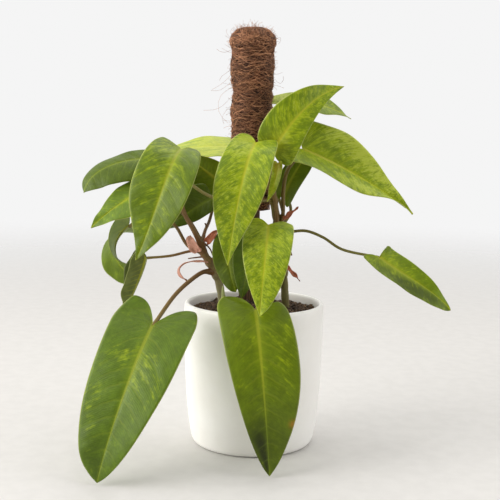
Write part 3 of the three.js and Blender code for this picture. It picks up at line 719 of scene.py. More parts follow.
def new_material(name):
    """A material with its shader, as (material, web, shader)."""
    material = bpy.data.materials.new(name)
    material.use_nodes = True
    material.node_tree.nodes.clear()
    web = Web(material.node_tree)
    shader = web.add("ShaderNodeBsdfPrincipled")
    web.add("ShaderNodeOutputMaterial", {"Surface": shader.outputs[0]})
    return material, web, shader


def wire(web, shader, **links):
    """Links or sets the shader's sockets, given by name with underscores for spaces."""
    for name, value in links.items():
        web.give(shader.inputs[name.replace("_", " ")], value)


def new_group(name, inputs, outputs):
    """A shader node group, as (group, web, its input sockets, its output node)."""
    group = bpy.data.node_groups.new(name, "ShaderNodeTree")
    for title, kind, value in inputs:
        socket = group.interface.new_socket(name=title, in_out="INPUT", socket_type=kind)
        if value is not None:
            socket.default_value = value
    for title, kind in outputs:
        group.interface.new_socket(name=title, in_out="OUTPUT", socket_type=kind)
    web = Web(group)
    given = web.add("NodeGroupInput").outputs
    result = web.add("NodeGroupOutput")
    return group, web, given, result


def make_grain_group():
    """Uneven colour and fine bumps over any surface: a mask, and a height."""
    inputs = [
        ("Place", "NodeSocketVector", None),
        ("Coarse", "NodeSocketFloat", 60.0),
        ("Fine", "NodeSocketFloat", 900.0),
    ]
    outputs = [("Mask", "NodeSocketFloat"), ("Height", "NodeSocketFloat")]
    group, web, given, result = new_group("grain", inputs, outputs)
    broad = web.noise(given["Place"], given["Coarse"], 4)
    fine = web.noise(given["Place"], given["Fine"], 3)
    web.tree.links.new(web.ramp(broad, 0.3, 0.7), result.inputs["Mask"])
    height = web.blend((broad, 0.6), (fine, 0.4))
    web.tree.links.new(height, result.inputs["Height"])
    return group


def make_vein_group():
    """A leaf's veins from its two maps: lane and across, and centimetres off and along the midrib."""
    inputs = [("Vein map", "NodeSocketVector", None), ("Flat map", "NodeSocketVector", None)]
    titles = ("Lateral", "Fine", "Midrib", "Glow", "Margin", "Height")
    outputs = [(title, "NodeSocketFloat") for title in titles]
    group, web, given, result = new_group("leaf veins", inputs, outputs)
    lane_share, row, _ = web.add("ShaderNodeSeparateXYZ", {0: given["Vein map"]}).outputs
    off_midrib = web.add("ShaderNodeSeparateXYZ", {0: given["Flat map"]}).outputs[0]
    out = web.math("ABSOLUTE", row)
    wander = web.math("SUBTRACT", web.noise(given["Flat map"], 1.1, 2), 0.5)
    lane = web.math("ADD", lane_share, web.math("MULTIPLY", wander, 0.03))

    def lines(count, sharp):
        turn = web.math("MULTIPLY", lane, count * math.pi)
        return web.math("POWER", web.math("ABSOLUTE", web.math("COSINE", turn)), sharp)

    lateral = web.math("MULTIPLY", lines(LATERALS, 60.0), web.ramp(out, 1.0, 0.1, 0.1, 1.0))
    fine = lines(LATERALS * FINE_VEINS, 3.0)
    rib_width = web.ramp(lane_share, 0.0, 0.8, 0.19, 0.05)
    widths_away = web.math("DIVIDE", web.math("ABSOLUTE", off_midrib), rib_width)
    midrib = web.ramp(widths_away, 1.4, 0.3)
    glow = web.ramp(widths_away, 5.0, 0.8, 0.0, 0.6)
    margin = web.ramp(out, 0.965, 0.995)
    height = web.blend((fine, 0.3), (lateral, -0.7))
    for title, value in zip(titles, (lateral, fine, midrib, glow, margin, height)):
        web.tree.links.new(value, result.inputs[title])
    return group


# Greens and yellows of the blades
PALE_FLECK = srgb(196, 204, 88)
YELLOW_GREEN = srgb(172, 188, 20)
LIGHT_WARM = srgb(128, 152, 12)
LIGHT_COOL = srgb(112, 148, 48)
DEEP_WARM = srgb(72, 86, 2)
DEEP_COOL = srgb(72, 98, 24)
BLUSH = srgb(170, 110, 34)
RIB = srgb(198, 196, 48)
RIB_DEEP = srgb(108, 128, 30)
DEEP_FLECK = srgb(160, 174, 50)
MARGIN = srgb(206, 210, 120)


def make_leaf_face(name, veins, lift=0.0):
    """Satin face of a blade: green ground, flecks along the veins, yellow midrib, pale margin, and painted
    shade where its depth is above 1.
    """
    material, web, shader = new_material(name)
    vein_map = web.uv_map("vein")
    flat_map = web.uv_map("flat")
    tone = web.attribute("tone")
    mottle, depth, blush = web.split(tone["Color"])
    cool = tone["Alpha"]
    pattern = web.place_group(veins, Vein_map=vein_map, Flat_map=flat_map)
    spread = {0: web.attribute("lot")["Vector"], 1: (40.0, 40.0, 40.0)}
    far = web.add("ShaderNodeVectorMath", spread, operation="MULTIPLY").outputs[0]

    def shifted(vector, scale):
        placed = web.stretch(vector, scale)
        return web.add("ShaderNodeVectorMath", {0: placed, 1: far}, operation="ADD").outputs[0]

    streaks = web.noise(shifted(vein_map, (36, 2.6, 1)), 1.0, 3, 0.6)
    dashes = web.noise(shifted(vein_map, (95, 7, 1)), 1.0, 2, 0.6)
    clouds = web.noise(shifted(flat_map, (1, 1, 1)), 1.1, 3, 0.65)
    specks = web.noise(shifted(flat_map, (1, 1, 1)), 9.0, 2, 0.6)
    lightness = web.math("SUBTRACT", 1.0, depth, clamp=True)
    level = web.math("SUBTRACT", 0.7, web.math("MULTIPLY", mottle, 0.28))
    soft = web.blend((streaks, 0.6), (clouds, 0.4))
    sharp = web.blend((dashes, 0.5), (streaks, 0.15), (clouds, 0.2), (specks, 0.15))
    yellowed = web.ramp(soft, web.math("SUBTRACT", level, 0.09), web.math("ADD", level, 0.12))
    flecked = web.ramp(sharp, level, web.math("ADD", level, 0.1))
    warm = web.mix(depth, LIGHT_WARM, DEEP_WARM)
    cold = web.mix(depth, LIGHT_COOL, DEEP_COOL)
    colour = web.mix(cool, warm, cold)
    shade = web.ramp(web.blend((clouds, 0.6), (dashes, 0.4)), 0.3, 0.7, 0.8, 1.18)
    # Depth above 1 is painted shade: it darkens the whole colour, down to 0.3 at a depth of 2.
    shade = web.math("MULTIPLY", shade, web.ramp(depth, 1.0, 2.0, 1.0, 0.3))
    grey = web.add("ShaderNodeCombineColor", {0: shade, 1: shade, 2: shade}).outputs[0]
    colour = web.mix(1.0, colour, grey, "MULTIPLY")
    wash = web.ramp(lightness, 0.0, 0.7, 0.4, 0.65)
    colour = web.mix(web.math("MULTIPLY", yellowed, wash), colour, YELLOW_GREEN)
    pale = web.ramp(lightness, 0.1, 0.7, 0.22, 0.5)
    fleck = web.mix(depth, PALE_FLECK, DEEP_FLECK)
    colour = web.mix(web.math("MULTIPLY", flecked, pale), colour, fleck)
    colour = web.mix(web.scaled(pattern["Fine"], 0.1), colour, DEEP_WARM)
    rib = web.mix(depth, RIB, RIB_DEEP)
    colour = web.mix(web.scaled(pattern["Lateral"], 0.22), colour, rib)
    colour = web.mix(web.math("MULTIPLY", pattern["Glow"], mottle), colour, YELLOW_GREEN)
    colour = web.mix(blush, colour, BLUSH)
    colour = web.mix(web.scaled(pattern["Midrib"], 0.78), colour, rib)
    edge = web.math("MULTIPLY", pattern["Margin"], web.ramp(lightness, 0.0, 0.7, 0.15, 0.6))
    colour = web.mix(edge, colour, MARGIN)
    if lift:
        colour = web.mix(lift, colour, PALE_FLECK)
        stripes = web.noise(shifted(flat_map, (4.2, 0.4, 1)), 1.0, 3, 0.6)
        colour = web.mix(web.ramp(stripes, 0.5, 0.62, 0.0, 0.55), colour, LIGHT_COOL)
    rough = web.ramp(specks, 0.2, 0.8, 0.34, 0.46)
    height = web.math("ADD", pattern["Height"], web.math("MULTIPLY", specks, 0.5))
    wire(web, shader, Base_Color=colour, Roughness=rough, Normal=web.bump(height, 0.35, 0.0004))
    wire(web, shader, Specular_IOR_Level=0.27)
    return material


def make_leaf_back(name, veins):
    """Underside of a blade: greyish green, matt, with its veins standing out, and painted shade where its
    depth is above 1.
    """
    material, web, shader = new_material(name)
    vein_map = web.uv_map("vein")
    flat_map = web.uv_map("flat")
    mottle, depth, _ = web.split(web.attribute("tone")["Color"])
    pattern = web.place_group(veins, Vein_map=vein_map, Flat_map=flat_map)
    clouds = web.noise(flat_map, 1.2, 4)
    colour = web.mix(depth, srgb(160, 176, 102), srgb(118, 142, 76))
    # Depth above 1 is painted shade: the underside turns to dark olive.
    colour = web.mix(web.ramp(depth, 1.0, 1.5), colour, srgb(92, 98, 30))
    patches = web.math("MULTIPLY", web.ramp(clouds, 0.4, 0.65), web.ramp(mottle, 0.0, 1.0, 0.1, 0.7))
    colour = web.mix(patches, colour, srgb(180, 188, 110))
    colour = web.mix(web.scaled(pattern["Lateral"], 0.45), colour, RIB)
    colour = web.mix(web.scaled(pattern["Midrib"], 0.8), colour, RIB)
    colour = web.mix(web.scaled(pattern["Margin"], 0.5), colour, MARGIN)
    height = web.math("MULTIPLY", pattern["Height"], -1.0)
    wire(web, shader, Base_Color=colour, Roughness=web.ramp(clouds, 0.3, 0.7, 0.5, 0.62))
    wire(web, shader, Normal=web.bump(height, 0.45, 0.0004), Specular_IOR_Level=0.35)
    return material


def make_rib_material():
    """Raised midrib under a blade, and the pale end of its petiole."""
    material, web, shader = new_material("midrib_back")
    streak = web.noise(web.stretch(web.object_place(), (900, 900, 250)), 1.0, 3)
    colour = web.mix(web.ramp(streak, 0.3, 0.7), srgb(150, 160, 92), srgb(178, 182, 116))
    wire(web, shader, Base_Color=colour, Roughness=0.45, Normal=web.bump(streak, 0.3, 0.0002))
    return material


# Blade geometry, in millimetres until the end


def cubic(a, b, c, d, t):
    """A curve from a to d, drawn towards b and c, at shares t of it."""
    s = 1 - t
    return a * s**3 + 3 * b * s * s * t + 3 * c * s * t * t + d * t**3


def margin_points(leaf, which, length, u):
    """Half outline of a flat blade: the notch, round the lobe, past the widest place to the tip."""
    half = leaf["sides"][which]
    widest = length * leaf.get("widest", WIDEST)[which]
    belly = leaf.get("belly", BELLY)[which]
    top = half * leaf.get("shoulder", SHOULDER)[which]
    lobe = leaf.get("lobe", (1, 1))[which]
    t = np.clip(u / LOBE_END, 0, 1)
    lobe_x = cubic(0, top * LOBE_START, top * LOBE_TURN, top, t)
    lobe_y = cubic(0, -lobe * LOBE_DEPTH, -lobe, -lobe, t)
    t = np.clip((u - LOBE_END) / (WIDEST_END - LOBE_END), 0, 1)
    side_x = cubic(top, top + (half - top) * SHOULDER_OUT, half, half, t)
    side_y = cubic(-lobe, -lobe, widest - (widest + lobe) * SHOULDER_UP, widest, t)
    t = np.clip((u - WIDEST_END) / (1 - WIDEST_END), 0, 1)
    end_x = cubic(half, half, half * belly, 0, t)
    flank_end = widest + (length - widest) * leaf.get("flank", FLANK)[which]
    end_y = cubic(widest, flank_end, length * (TIP_SLIM + TIP_FULL * belly), length, t)
    in_lobe = u < LOBE_END
    at_side = u < WIDEST_END
    x = np.where(in_lobe, lobe_x, np.where(at_side, side_x, end_x))
    y = np.where(in_lobe, lobe_y, np.where(at_side, side_y, end_y))
    return x, y


class Midrib:
    """The curve of a blade's midrib, walked by its length."""

    SAMPLES = 400

    def __init__(self, leaf):
        base, tip = np.array(leaf["base"], float), np.array(leaf["tip"], float)
        first, last = base + leaf["leave"], tip - leaf["arrive"]
        t = np.linspace(0, 1, self.SAMPLES)[:, None]
        self.points = cubic(base, first, last, tip, t)
        steps = np.linalg.norm(np.diff(self.points, axis=0), axis=1)
        self.walked = np.concatenate([[0], np.cumsum(steps)])
        self.length = self.walked[-1]
        self.tangents = unit(np.gradient(self.points, axis=0))
        self.across = unit(np.cross(leaf["face"], unit(tip - base)))
        self.twist = math.radians(leaf.get("twist", 0))

    def frame_at(self, y):
        """Origin, side and normal at lengths along the midrib, straight on behind the notch."""
        held = np.clip(y, 0, self.length)
        origin = np.stack([np.interp(held, self.walked, self.points[:, i]) for i in range(3)], -1)
        along = unit(np.stack([np.interp(held, self.walked, self.tangents[:, i]) for i in range(3)], -1))
        side = unit(self.across - along * (along @ self.across)[:, None])
        angle = (self.twist * (held / self.length - 0.5))[:, None]
        side = side * np.cos(angle) + np.cross(along, side) * np.sin(angle)
        normal = np.cross(along, side)
        origin = origin + self.tangents[0] * np.minimum(y, 0)[:, None]
        return origin, side, normal


def blade_places(leaf, u, across, relief):
    """Places on a blade for columns u and signed rows across, and their flat places."""
    rib_curve = Midrib(leaf)
    length = rib_curve.length
    hand = np.where(across < 0, -1.0, 1.0)
    v = np.abs(across)
    halves = [margin_points(leaf, which, length, u) for which in (0, 1)]
    mx = np.where(hand < 0, halves[0][0], halves[1][0])
    my = np.where(hand < 0, halves[0][1], halves[1][1])
    rib = np.where(u <= LOBE_END, 0, length * np.clip((u - LOBE_END) / (1 - LOBE_END), 0, 1) ** VEIN_LEAN)
    x = mx * v
    y = rib + (my - rib) * v
    pick = [np.where(hand < 0, *(math.radians(a) for a in leaf["fold"]))]
    pick.append(np.where(hand < 0, *(math.radians(r) / s for r, s in zip(leaf["roll"], leaf["sides"]))))
    fold, bend = pick
    slope = fold + bend * x
    out = (np.sin(slope) - np.sin(fold)) / bend
    up = (np.cos(fold) - np.cos(slope)) / bend
    height = np.where(hand < 0, *leaf.get("wave", WAVE))
    start = leaf.get("phase", leaf["tip"][0])
    wave = height * v * v * np.sin(TURN * WAVES * u + hand + start) * np.minimum(1, 4 * u)
    origin, side, normal = rib_curve.frame_at(y)
    rise = up + wave + relief(u, v, x, y, length, hand)
    places = origin + side * (hand * out)[:, None] + normal * rise[:, None]
    return places, x * hand, y


def vein_lane(leaf, x, y, length):
    """Which lateral a flat place lies by: they sweep to the tip, and fan out into the lobes."""
    out = np.abs(x)
    ahead = y - LANE_LEAN * out - LANE_BOW * out * out / max(leaf["sides"])
    fan = LANE_FAN * ahead / np.maximum(np.hypot(x, y), 0.5)
    return np.where(ahead > 0, ahead / length, fan)


def leaf_relief(leaf):
    """How far the tissue stands off the plain blade: pillowed between veins, sunk at the midrib."""
    quilt = PILLOW * max(leaf["sides"])
    start = leaf["base"][0]

    def relief(u, v, x, y, length, hand):
        lane = vein_lane(leaf, x, y, length) + VEIN_SWAY * np.sin(0.2 * y + start * hand)
        pillow = np.abs(np.sin(math.pi * LATERALS * lane)) ** PILLOW_SHAPE
        pillow *= 0.65 + 0.35 * np.sin(0.09 * y + 0.13 * x + start)
        fade = np.clip(v / 0.12, 0, 1) * np.clip((1 - v) / 0.25, 0.15, 1) * np.clip((1 - u) / 0.1, 0, 1)
        share = np.clip(y / length, 0, 1)
        trough = -TROUGH_DEPTH * np.exp(-(x / (TROUGH_WIDTH - share)) ** 2) * (1 - 0.8 * share)
        slow = SLOW_WAVE * v * np.sin(TURN * SLOW_WAVES * u + 2 * hand + leaf["tip"][2])
        slow = slow * np.clip((1 - u) / 0.2, 0, 1)
        small = SMALL_WAVE * v * np.sin(TURN * SMALL_WAVES * u + hand * 1.7 + leaf["tip"][1])
        return quilt * pillow * fade + trough + slow + small

    return relief


def make_sheet(name, along, across):
    """A grid with u along it and the signed row across it, as (piece, u, row)."""
    deselect()
    bpy.ops.mesh.primitive_grid_add(x_subdivisions=along, y_subdivisions=2 * across, size=2)
    piece = new_piece(name)
    flat = get_places(piece)
    return piece, (flat[:, 0] + 1) / 2, flat[:, 1].copy()


def thicken(piece, thickness, rim_share, *skins):
    """Thickness either side of the sheet, less at its margin; the last skin is the underside."""
    for skin in skins:
        piece.data.materials.append(skin)
    rows = {}
    for loop, corner in zip(piece.data.loops, piece.data.uv_layers["vein"].uv):
        rows[loop.vertex_index] = abs(corner.vector.y)
    edge = [index for index, row in rows.items() if row > EDGE_ROW]
    inner = [index for index, row in rows.items() if row <= EDGE_ROW]
    fullness = piece.vertex_groups.new(name="thick")
    fullness.add(inner, 1.0, "REPLACE")
    fullness.add(edge, rim_share, "REPLACE")
    apply_modifier(
        piece, "SOLIDIFY", thickness=thickness * MM, offset=0, use_rim=True, material_offset=1,
        vertex_group="thick", thickness_vertex_group=0.0,
    )


def tone_field(leaf, along, across):
    """Mottle, depth, blush and cool over a blade, with its own patches; depth above 1, raised also by the
    shades patches, is painted shade.
    """
    look = leaf["look"]
    mottle = np.full(along.shape, float(look["mottle"]))
    depth = np.full(along.shape, float(look["depth"]))
    blush = look.get("blush", 0) * np.exp(-(along / 0.18) ** 2) * np.exp(-(across / 0.6) ** 2)
    for field, patches in ((mottle, "spots"), (depth, "shades"), (blush, "marks")):
        for middle, row, reach, wide, amount in leaf.get(patches, []):
            field += amount * np.exp(-((along - middle) / reach) ** 2 - ((across - row) / wide) ** 2)
    cool = np.full(along.shape, look["cool"])
    return np.stack([np.clip(mottle, 0, 1), np.clip(depth, 0, 2), blush, cool], -1)


def make_rib_under(leaf, name):
    """The raised midrib on the underside, from the petiole to near the tip."""
    curve = Midrib(leaf)
    stations = np.linspace(RIB_START, curve.length * RIB_REACH, RIB_STATIONS)
    origin, _, normal = curve.frame_at(stations)
    share = stations / curve.length
    radius = (RIB_SHARE * max(leaf["sides"]) + RIB_MORE) * (1 - share) ** RIB_TAPER + RIB_TIP
    centre = origin - normal * (BLADE_GAP + radius * 0.8)[:, None]
    return make_tube(name, [(centre, radius)], 3)


def make_tube(name, runs, resolution):
    """Round tubes along runs of points and radii in millimetres, as one mesh."""
    data = bpy.data.curves.new(name, "CURVE")
    data.dimensions = "3D"
    data.bevel_depth = MM
    data.bevel_resolution = resolution
    data.use_fill_caps = True
    for points, radii in runs:
        spline = data.splines.new("POLY")
        spline.points.add(len(points) - 1)
        places = np.concatenate([np.asarray(points) * MM, np.ones((len(points), 1))], 1)
        spline.points.foreach_set("co", places.ravel())
        spline.points.foreach_set("radius", np.broadcast_to(radii, len(points)).astype(float))
    curve = bpy.data.objects.new(name, data)
    bpy.context.scene.collection.objects.link(curve)
    activate(curve)
    bpy.ops.object.convert(target="MESH")
    return new_piece(name)


def make_leaf(name, leaf, order, face, back):
    """A blade with its face and underside, and the rib under it."""
    piece, u, across = make_sheet(name + "_blade", GRID_ALONG, GRID_ACROSS)
    places, flat_x, flat_y = blade_places(leaf, u, across, leaf_relief(leaf))
    set_places(piece, places * MM)
    length = Midrib(leaf).length
    set_uv(piece, "vein", np.stack([vein_lane(leaf, flat_x, flat_y, length), across], -1))
    set_uv(piece, "flat", np.stack([flat_x, flat_y], -1) / 10)
    set_tone(piece, "tone", tone_field(leaf, flat_y / length, across))
    draw = np.random.default_rng(SEED + order).random(3)
    set_tone(piece, "lot", np.tile([*draw, 1.0], (len(u), 1)))
    merge_doubles(piece, DOUBLES * MM)
    thicken(piece, BLADE_THICKNESS, BLADE_RIM, face, back)
    rib = make_rib_under(leaf, name + "_rib")
    smooth(piece)
    smooth(rib)
    return piece, rib


def make_leaves(veins):
    faces = {
        "leaf_mottled": make_leaf_face("leaf_mottled_face", veins),
        "leaf_dark": make_leaf_face("leaf_dark_face", veins),
        "leaf_lime": make_leaf_face("leaf_lime_face", veins, 0.5),
    }
    back = make_leaf_back("leaf_back", veins)
    rib_skin = make_rib_material()
    for order, (name, leaf) in enumerate(LEAVES.items()):
        slot = FINISHES.get(name, "leaf_mottled")
        piece, rib = make_leaf(name, leaf, order, faces[slot], back)
        finish_piece(piece, slot, [], name)
        finish_piece(rib, slot, [rib_skin])


# Dry sheaths


def make_sheath_material():
    """Papery sheath: tan, rust or pink, darker at the tip, with long fine creases."""
    material, web, shader = new_material("sheath_paper")
    vein_map = web.uv_map("vein")
    rust, pink, along = web.split(web.attribute("tone")["Color"])
    creases = web.noise(web.stretch(vein_map, (2, 14, 1)), 1.0, 4, 0.6, 0.4)
    blotches = web.noise(web.object_place(), 260, 3)
    colour = web.mix(rust, srgb(210, 184, 142), srgb(184, 104, 74))
    colour = web.mix(pink, colour, srgb(222, 166, 146))
    colour = web.mix(web.ramp(creases, 0.35, 0.7, 0.0, 0.42), colour, srgb(150, 94, 68))
    colour = web.mix(web.ramp(blotches, 0.55, 0.8, 0.0, 0.4), colour, srgb(206, 178, 150))
    colour = web.mix(web.ramp(along, 0.8, 1.0, 0.0, 0.4), colour, srgb(120, 78, 54))
    wire(web, shader, Base_Color=colour, Roughness=0.78, Normal=web.bump(creases, 0.6, 0.0006))
    return material


def make_sheath(name, sheath, order, paper):
    """A thin crumpled sheath on the same kind of sheet as a blade."""
    piece, u, across = make_sheet(name + "_paper", SHEATH_ALONG, SHEATH_ACROSS)
    draw = np.random.default_rng(SEED + 100 + order)
    phase = draw.random(3) * TURN
    width = sheath["sides"][0]

    def crumple(u, v, x, y, length, hand):
        fold = CRUMPLE_ACROSS * width * np.sin(CRUMPLES_ACROSS * v * hand + phase[0] + 3 * u) * v
        swing = np.sin(TURN * CRUMPLES_ALONG * u + phase[1] + 2 * hand)
        return fold + CRUMPLE_ALONG * width * swing * v * np.minimum(1, 5 * u)

    places, flat_x, flat_y = blade_places(sheath, u, across, crumple)
    set_places(piece, places * MM)
    set_uv(piece, "vein", np.stack([u, across], -1))
    colour = sheath["colour"]
    tone = np.stack([np.full(u.shape, float(colour == 1)), np.full(u.shape, float(colour == 2)), u, u], -1)
    set_tone(piece, "tone", tone)
    merge_doubles(piece, DOUBLES * MM)
    thicken(piece, SHEATH_THICKNESS, SHEATH_RIM, paper)
    smooth(piece)
    return piece


def make_sheaths():
    paper = make_sheath_material()
    for order, (name, sheath) in enumerate(SHEATHS.items()):
        piece = make_sheath(name, sheath, order, paper)
        finish_piece(piece, "sheath_dry", [], name)


# Stems, petioles and the shoot


def smooth_path(points, step):
    """A centripetal Catmull-Rom curve through the points, as in the solids, about step apart."""
    p = np.asarray(points, float)
    ends = np.concatenate([[2 * p[0] - p[1]], p, [2 * p[-1] - p[-2]]])
    path = []
    for i in range(len(p) - 1):
        a, b, c, d = ends[i:i + 4]
        gap = [np.linalg.norm(y - x) ** 0.5 for x, y in ((a, b), (b, c), (c, d))]
        t1 = (b - a) / gap[0] - (c - a) / (gap[0] + gap[1]) + (c - b) / gap[1]
        t2 = (c - b) / gap[1] - (d - b) / (gap[1] + gap[2]) + (d - c) / gap[2]
        t1, t2 = t1 * gap[1], t2 * gap[1]
        count = max(2, int(np.linalg.norm(c - b) / step))
        t = np.linspace(0, 1, count, endpoint=False)[:, None]
        h = 2 * t**3 - 3 * t**2
        path.append((h + 1) * b + (t**3 - 2 * t**2 + t) * t1 - h * c + (t**3 - t**2) * t2)
    path.append(p[-1:])
    return np.concatenate(path)


def shares_along(path):
    """How far along a path each point lies, as a share of it and in millimetres."""
    steps = np.concatenate([[0], np.cumsum(np.linalg.norm(np.diff(path, axis=0), axis=1))])
    return steps / steps[-1], steps


def petiole_run(leaf, radius, route):
    """From inside the stem to just under the notch: a clasping base, a slim middle, a swollen end."""
    curve = Midrib(leaf)
    origin, _, normal = (part[0] for part in curve.frame_at(np.array([0.0])))
    end = origin - normal * (BLADE_GAP + radius * 0.6)
    path = smooth_path([*route, tuple(end)], PETIOLE_STEP)
    share, walked = shares_along(path)
    left = walked[-1] - walked
    clasp = CLASP * np.exp(-(walked / CLASP_REACH) ** 2)
    knuckle = KNUCKLE * np.exp(-(left / KNUCKLE_REACH) ** 2)
    return path, radius * (1 + clasp + knuckle - PETIOLE_TAPER * share)


def stem_run(stem):
    """A stem's path and radii: swollen at its joints, with a scar ring to either side of each."""
    path = smooth_path([*stem["foot"], *stem["climb"]], STEM_STEP)
    radius = np.full(len(path), float(STEM_RADIUS))
    for joint in stem["joints"]:
        away = np.linalg.norm(path - np.array(joint), axis=1)
        radius += (JOINT_RADIUS - STEM_RADIUS) * np.exp(-(away / JOINT_REACH) ** 2)
        radius -= SCAR_DEPTH * np.exp(-(away - SCAR_AWAY) ** 2)
    radius += STEM_SWELL * np.sin(shares_along(path)[1] * 0.5)
    return path, radius


def make_stem_material(name, brown, green):
    """Waxy stem skin: brown to green along it, with fine streaks lengthwise and pale scars."""
    material, web, shader = new_material(name)
    brownness, paleness, young = web.split(web.attribute("tone")["Color"])
    streaks = web.noise(web.attribute("grain")["Vector"], 1.0, 4, 0.6)
    blots = web.noise(web.object_place(), 220, 3)
    colour = web.mix(brownness, green, brown)
    colour = web.mix(paleness, colour, srgb(150, 148, 108))
    colour = web.mix(young, colour, srgb(140, 146, 66))
    colour = web.mix(web.ramp(streaks, 0.45, 0.7, 0.0, 0.4), colour, srgb(84, 58, 34))
    colour = web.mix(web.ramp(blots, 0.55, 0.8, 0.0, 0.35), colour, srgb(160, 140, 96))
    height = web.blend((streaks, 0.7), (blots, 0.5))
    wire(web, shader, Base_Color=colour, Roughness=web.ramp(blots, 0.3, 0.7, 0.42, 0.56))
    wire(web, shader, Normal=web.bump(height, 0.4, 0.0005), Specular_IOR_Level=0.36)
    return material


def make_stem(name, stem, node, slot, material):
    """A stem grown together with its petioles and roots."""
    runs = [stem_run(stem)]
    tones = [stem["tone"]]
    for leaf, (radius, route) in stem["petioles"].items():
        runs.append(petiole_run(LEAVES[leaf], radius, route))
        tones.append((stem["browns"].get(leaf, PETIOLE_BROWN), 0.0, PETIOLE_YOUNG))
    for radius, route in stem["roots"]:
        path = smooth_path(route, ROOT_STEP)
        runs.append((path, np.linspace(radius * ROOT_TAPER[0], radius * ROOT_TAPER[1], len(path))))
        tones.append((ROOT_BROWN, 0.0, 0.0))
    piece = make_tube(name, runs, 3)
    piece.data.remesh_voxel_size = STEM_BLOCK * MM
    activate(piece)
    bpy.ops.object.voxel_remesh()
    apply_modifier(piece, "SMOOTH", factor=0.5, iterations=5)
    apply_modifier(piece, "DECIMATE", ratio=STEM_KEEP)
    paint_stem(piece, runs, tones)
    smooth(piece)
    return finish_piece(piece, slot, [material], node)


def paint_stem(piece, runs, tones):
    """Colours each place by the run it lies on, and gives the streaks their lengthwise grain."""
    tree = kdtree.KDTree(sum(len(path) for path, radii in runs))
    facts = []
    for (path, radii), tone in zip(runs, tones):
        share, walked = shares_along(path)
        tangents = unit(np.gradient(path, axis=0))
        for i, point in enumerate(path):
            tree.insert(point, len(facts))
            facts.append((point, tangents[i], share[i], walked[i], *tone))
    tree.balance()
    places = get_places(piece) / MM
    tone_rows = np.ones((len(places), 4))
    grain_rows = np.ones((len(places), 4))
    for i, place in enumerate(places):
        point, tangent, share, walked, brown, pale, young = facts[tree.find(place)[1]]
        off = place - point
        off -= tangent * (off @ tangent)
        low = min(1.0, max(0.0, (PALE_BELOW - place[2]) / PALE_FADE))
        tone_rows[i, :3] = (brown, pale * low, young * share * share)
        grain_rows[i, :3] = off * STREAK_ACROSS + (0, 0, walked * STREAK_ALONG)
    set_tone(piece, "tone", tone_rows)
    set_tone(piece, "grain", grain_rows)


def make_stems():
    brown = srgb(120, 80, 44)
    left_skin = make_stem_material("left_stem_skin", brown, srgb(118, 104, 58))
    right_skin = make_stem_material("right_stem_skin", brown, srgb(108, 110, 42))
    make_stem("left_stem_skin", LEFT_STEM, "left_stem", "stem_brown", left_skin)
    make_stem("right_stem_skin", RIGHT_STEM, "right_stem", "stem_green", right_skin)


def make_shoot():
    """Pale pointed shoot, as a spindle on its foot."""
    foot, top = np.array(SHOOT_FOOT, float), np.array(SHOOT_TOP, float)
    share = np.linspace(0, 1, 22)
    spindle = np.interp(share, [y for x, y in SHOOT_SPINDLE], [x for x, y in SHOOT_SPINDLE])
    path = foot + (top - foot) * share[:, None]
    piece = make_tube("shoot_skin", [(path, np.maximum(spindle * SHOOT_RADIUS, 0.05))], 5)
    smooth(piece)
    material, web, shader = new_material("shoot_pale_skin")
    streaks = web.noise(web.stretch(web.object_place(), (1100, 1100, 120)), 1.0, 3)
    colour = web.mix(web.ramp(streaks, 0.3, 0.7), srgb(150, 160, 84), srgb(182, 186, 124))
    wire(web, shader, Base_Color=colour, Roughness=0.45, Normal=web.bump(streaks, 0.4, 0.0004))
    finish_piece(piece, "shoot_pale", [material], "pale_shoot")


# Coir pole


def sleeve_radius(height, angle):
    """The sleeve's radius: its bands, rounded off, and lumps round it."""
    z = [band[0] for band in SLEEVE_BANDS]
    r = [band[1] for band in SLEEVE_BANDS]
    radius = sum(np.interp(height + shift, z, r) for shift in (-2, 0, 2)) / 3
    radius = radius - PINCH_DEEPER * np.clip(PINCH_BELOW - radius, 0, None)
    lumps = np.sin(angle * 3 + height * 0.13) + np.sin(angle * 5 - height * 0.21)
    return radius + SLEEVE_LUMP * lumps


def dome_height(away):
    """Height of the cap at a share of its radius from the middle."""
    return SLEEVE_TOP - CAP_FALL * np.clip(away, 0, 1) ** CAP_SQUARE


def make_core():
    """The body under the strands, which its material paints dark as shade: a ball drawn out to a flat foot,
    a side and a cap.
    """
    deselect()
    bpy.ops.mesh.primitive_uv_sphere_add(
        segments=CORE_SIDES, ring_count=CORE_RINGS, radius=1, location=(0, 0, 0),
    )
    piece = new_piece("coir_core")
    x, y, z = get_places(piece).T
    angle = np.arctan2(y, x)
    climbed = 1 - np.arccos(np.clip(z, -1, 1)) / math.pi
    foot_edge, cap_edge = CORE_EDGES
    side_top = SLEEVE_BANDS[-1][0]
    away = np.interp(climbed, (0, foot_edge, cap_edge, 1), (0, 1, 1, 0))
    side_height = np.interp(climbed, CORE_EDGES, (SLEEVE_FOOT, side_top))
    height = np.where(climbed > cap_edge, dome_height(away) - CORE_CAP_DEPTH, side_height)
    radius = sleeve_radius(np.minimum(height, side_top), angle) - CORE_DEPTH
    rough = CORE_ROUGH * np.sin(angle * 23 + height * 1.3) * np.sin(height * 0.9 + angle * 7)
    scale = np.where(away > 0.9, radius + rough, radius) * away
    places = np.stack([SLEEVE_X + np.cos(angle) * scale, np.sin(angle) * scale, height], -1)
    set_places(piece, places * MM)
    smooth(piece)
    return piece


def weave(draw, t):
    """How far a strand goes over and under its neighbours along itself."""
    return WEAVE * np.sin(TURN * (draw.uniform(*WEAVES) * t + draw.random()))


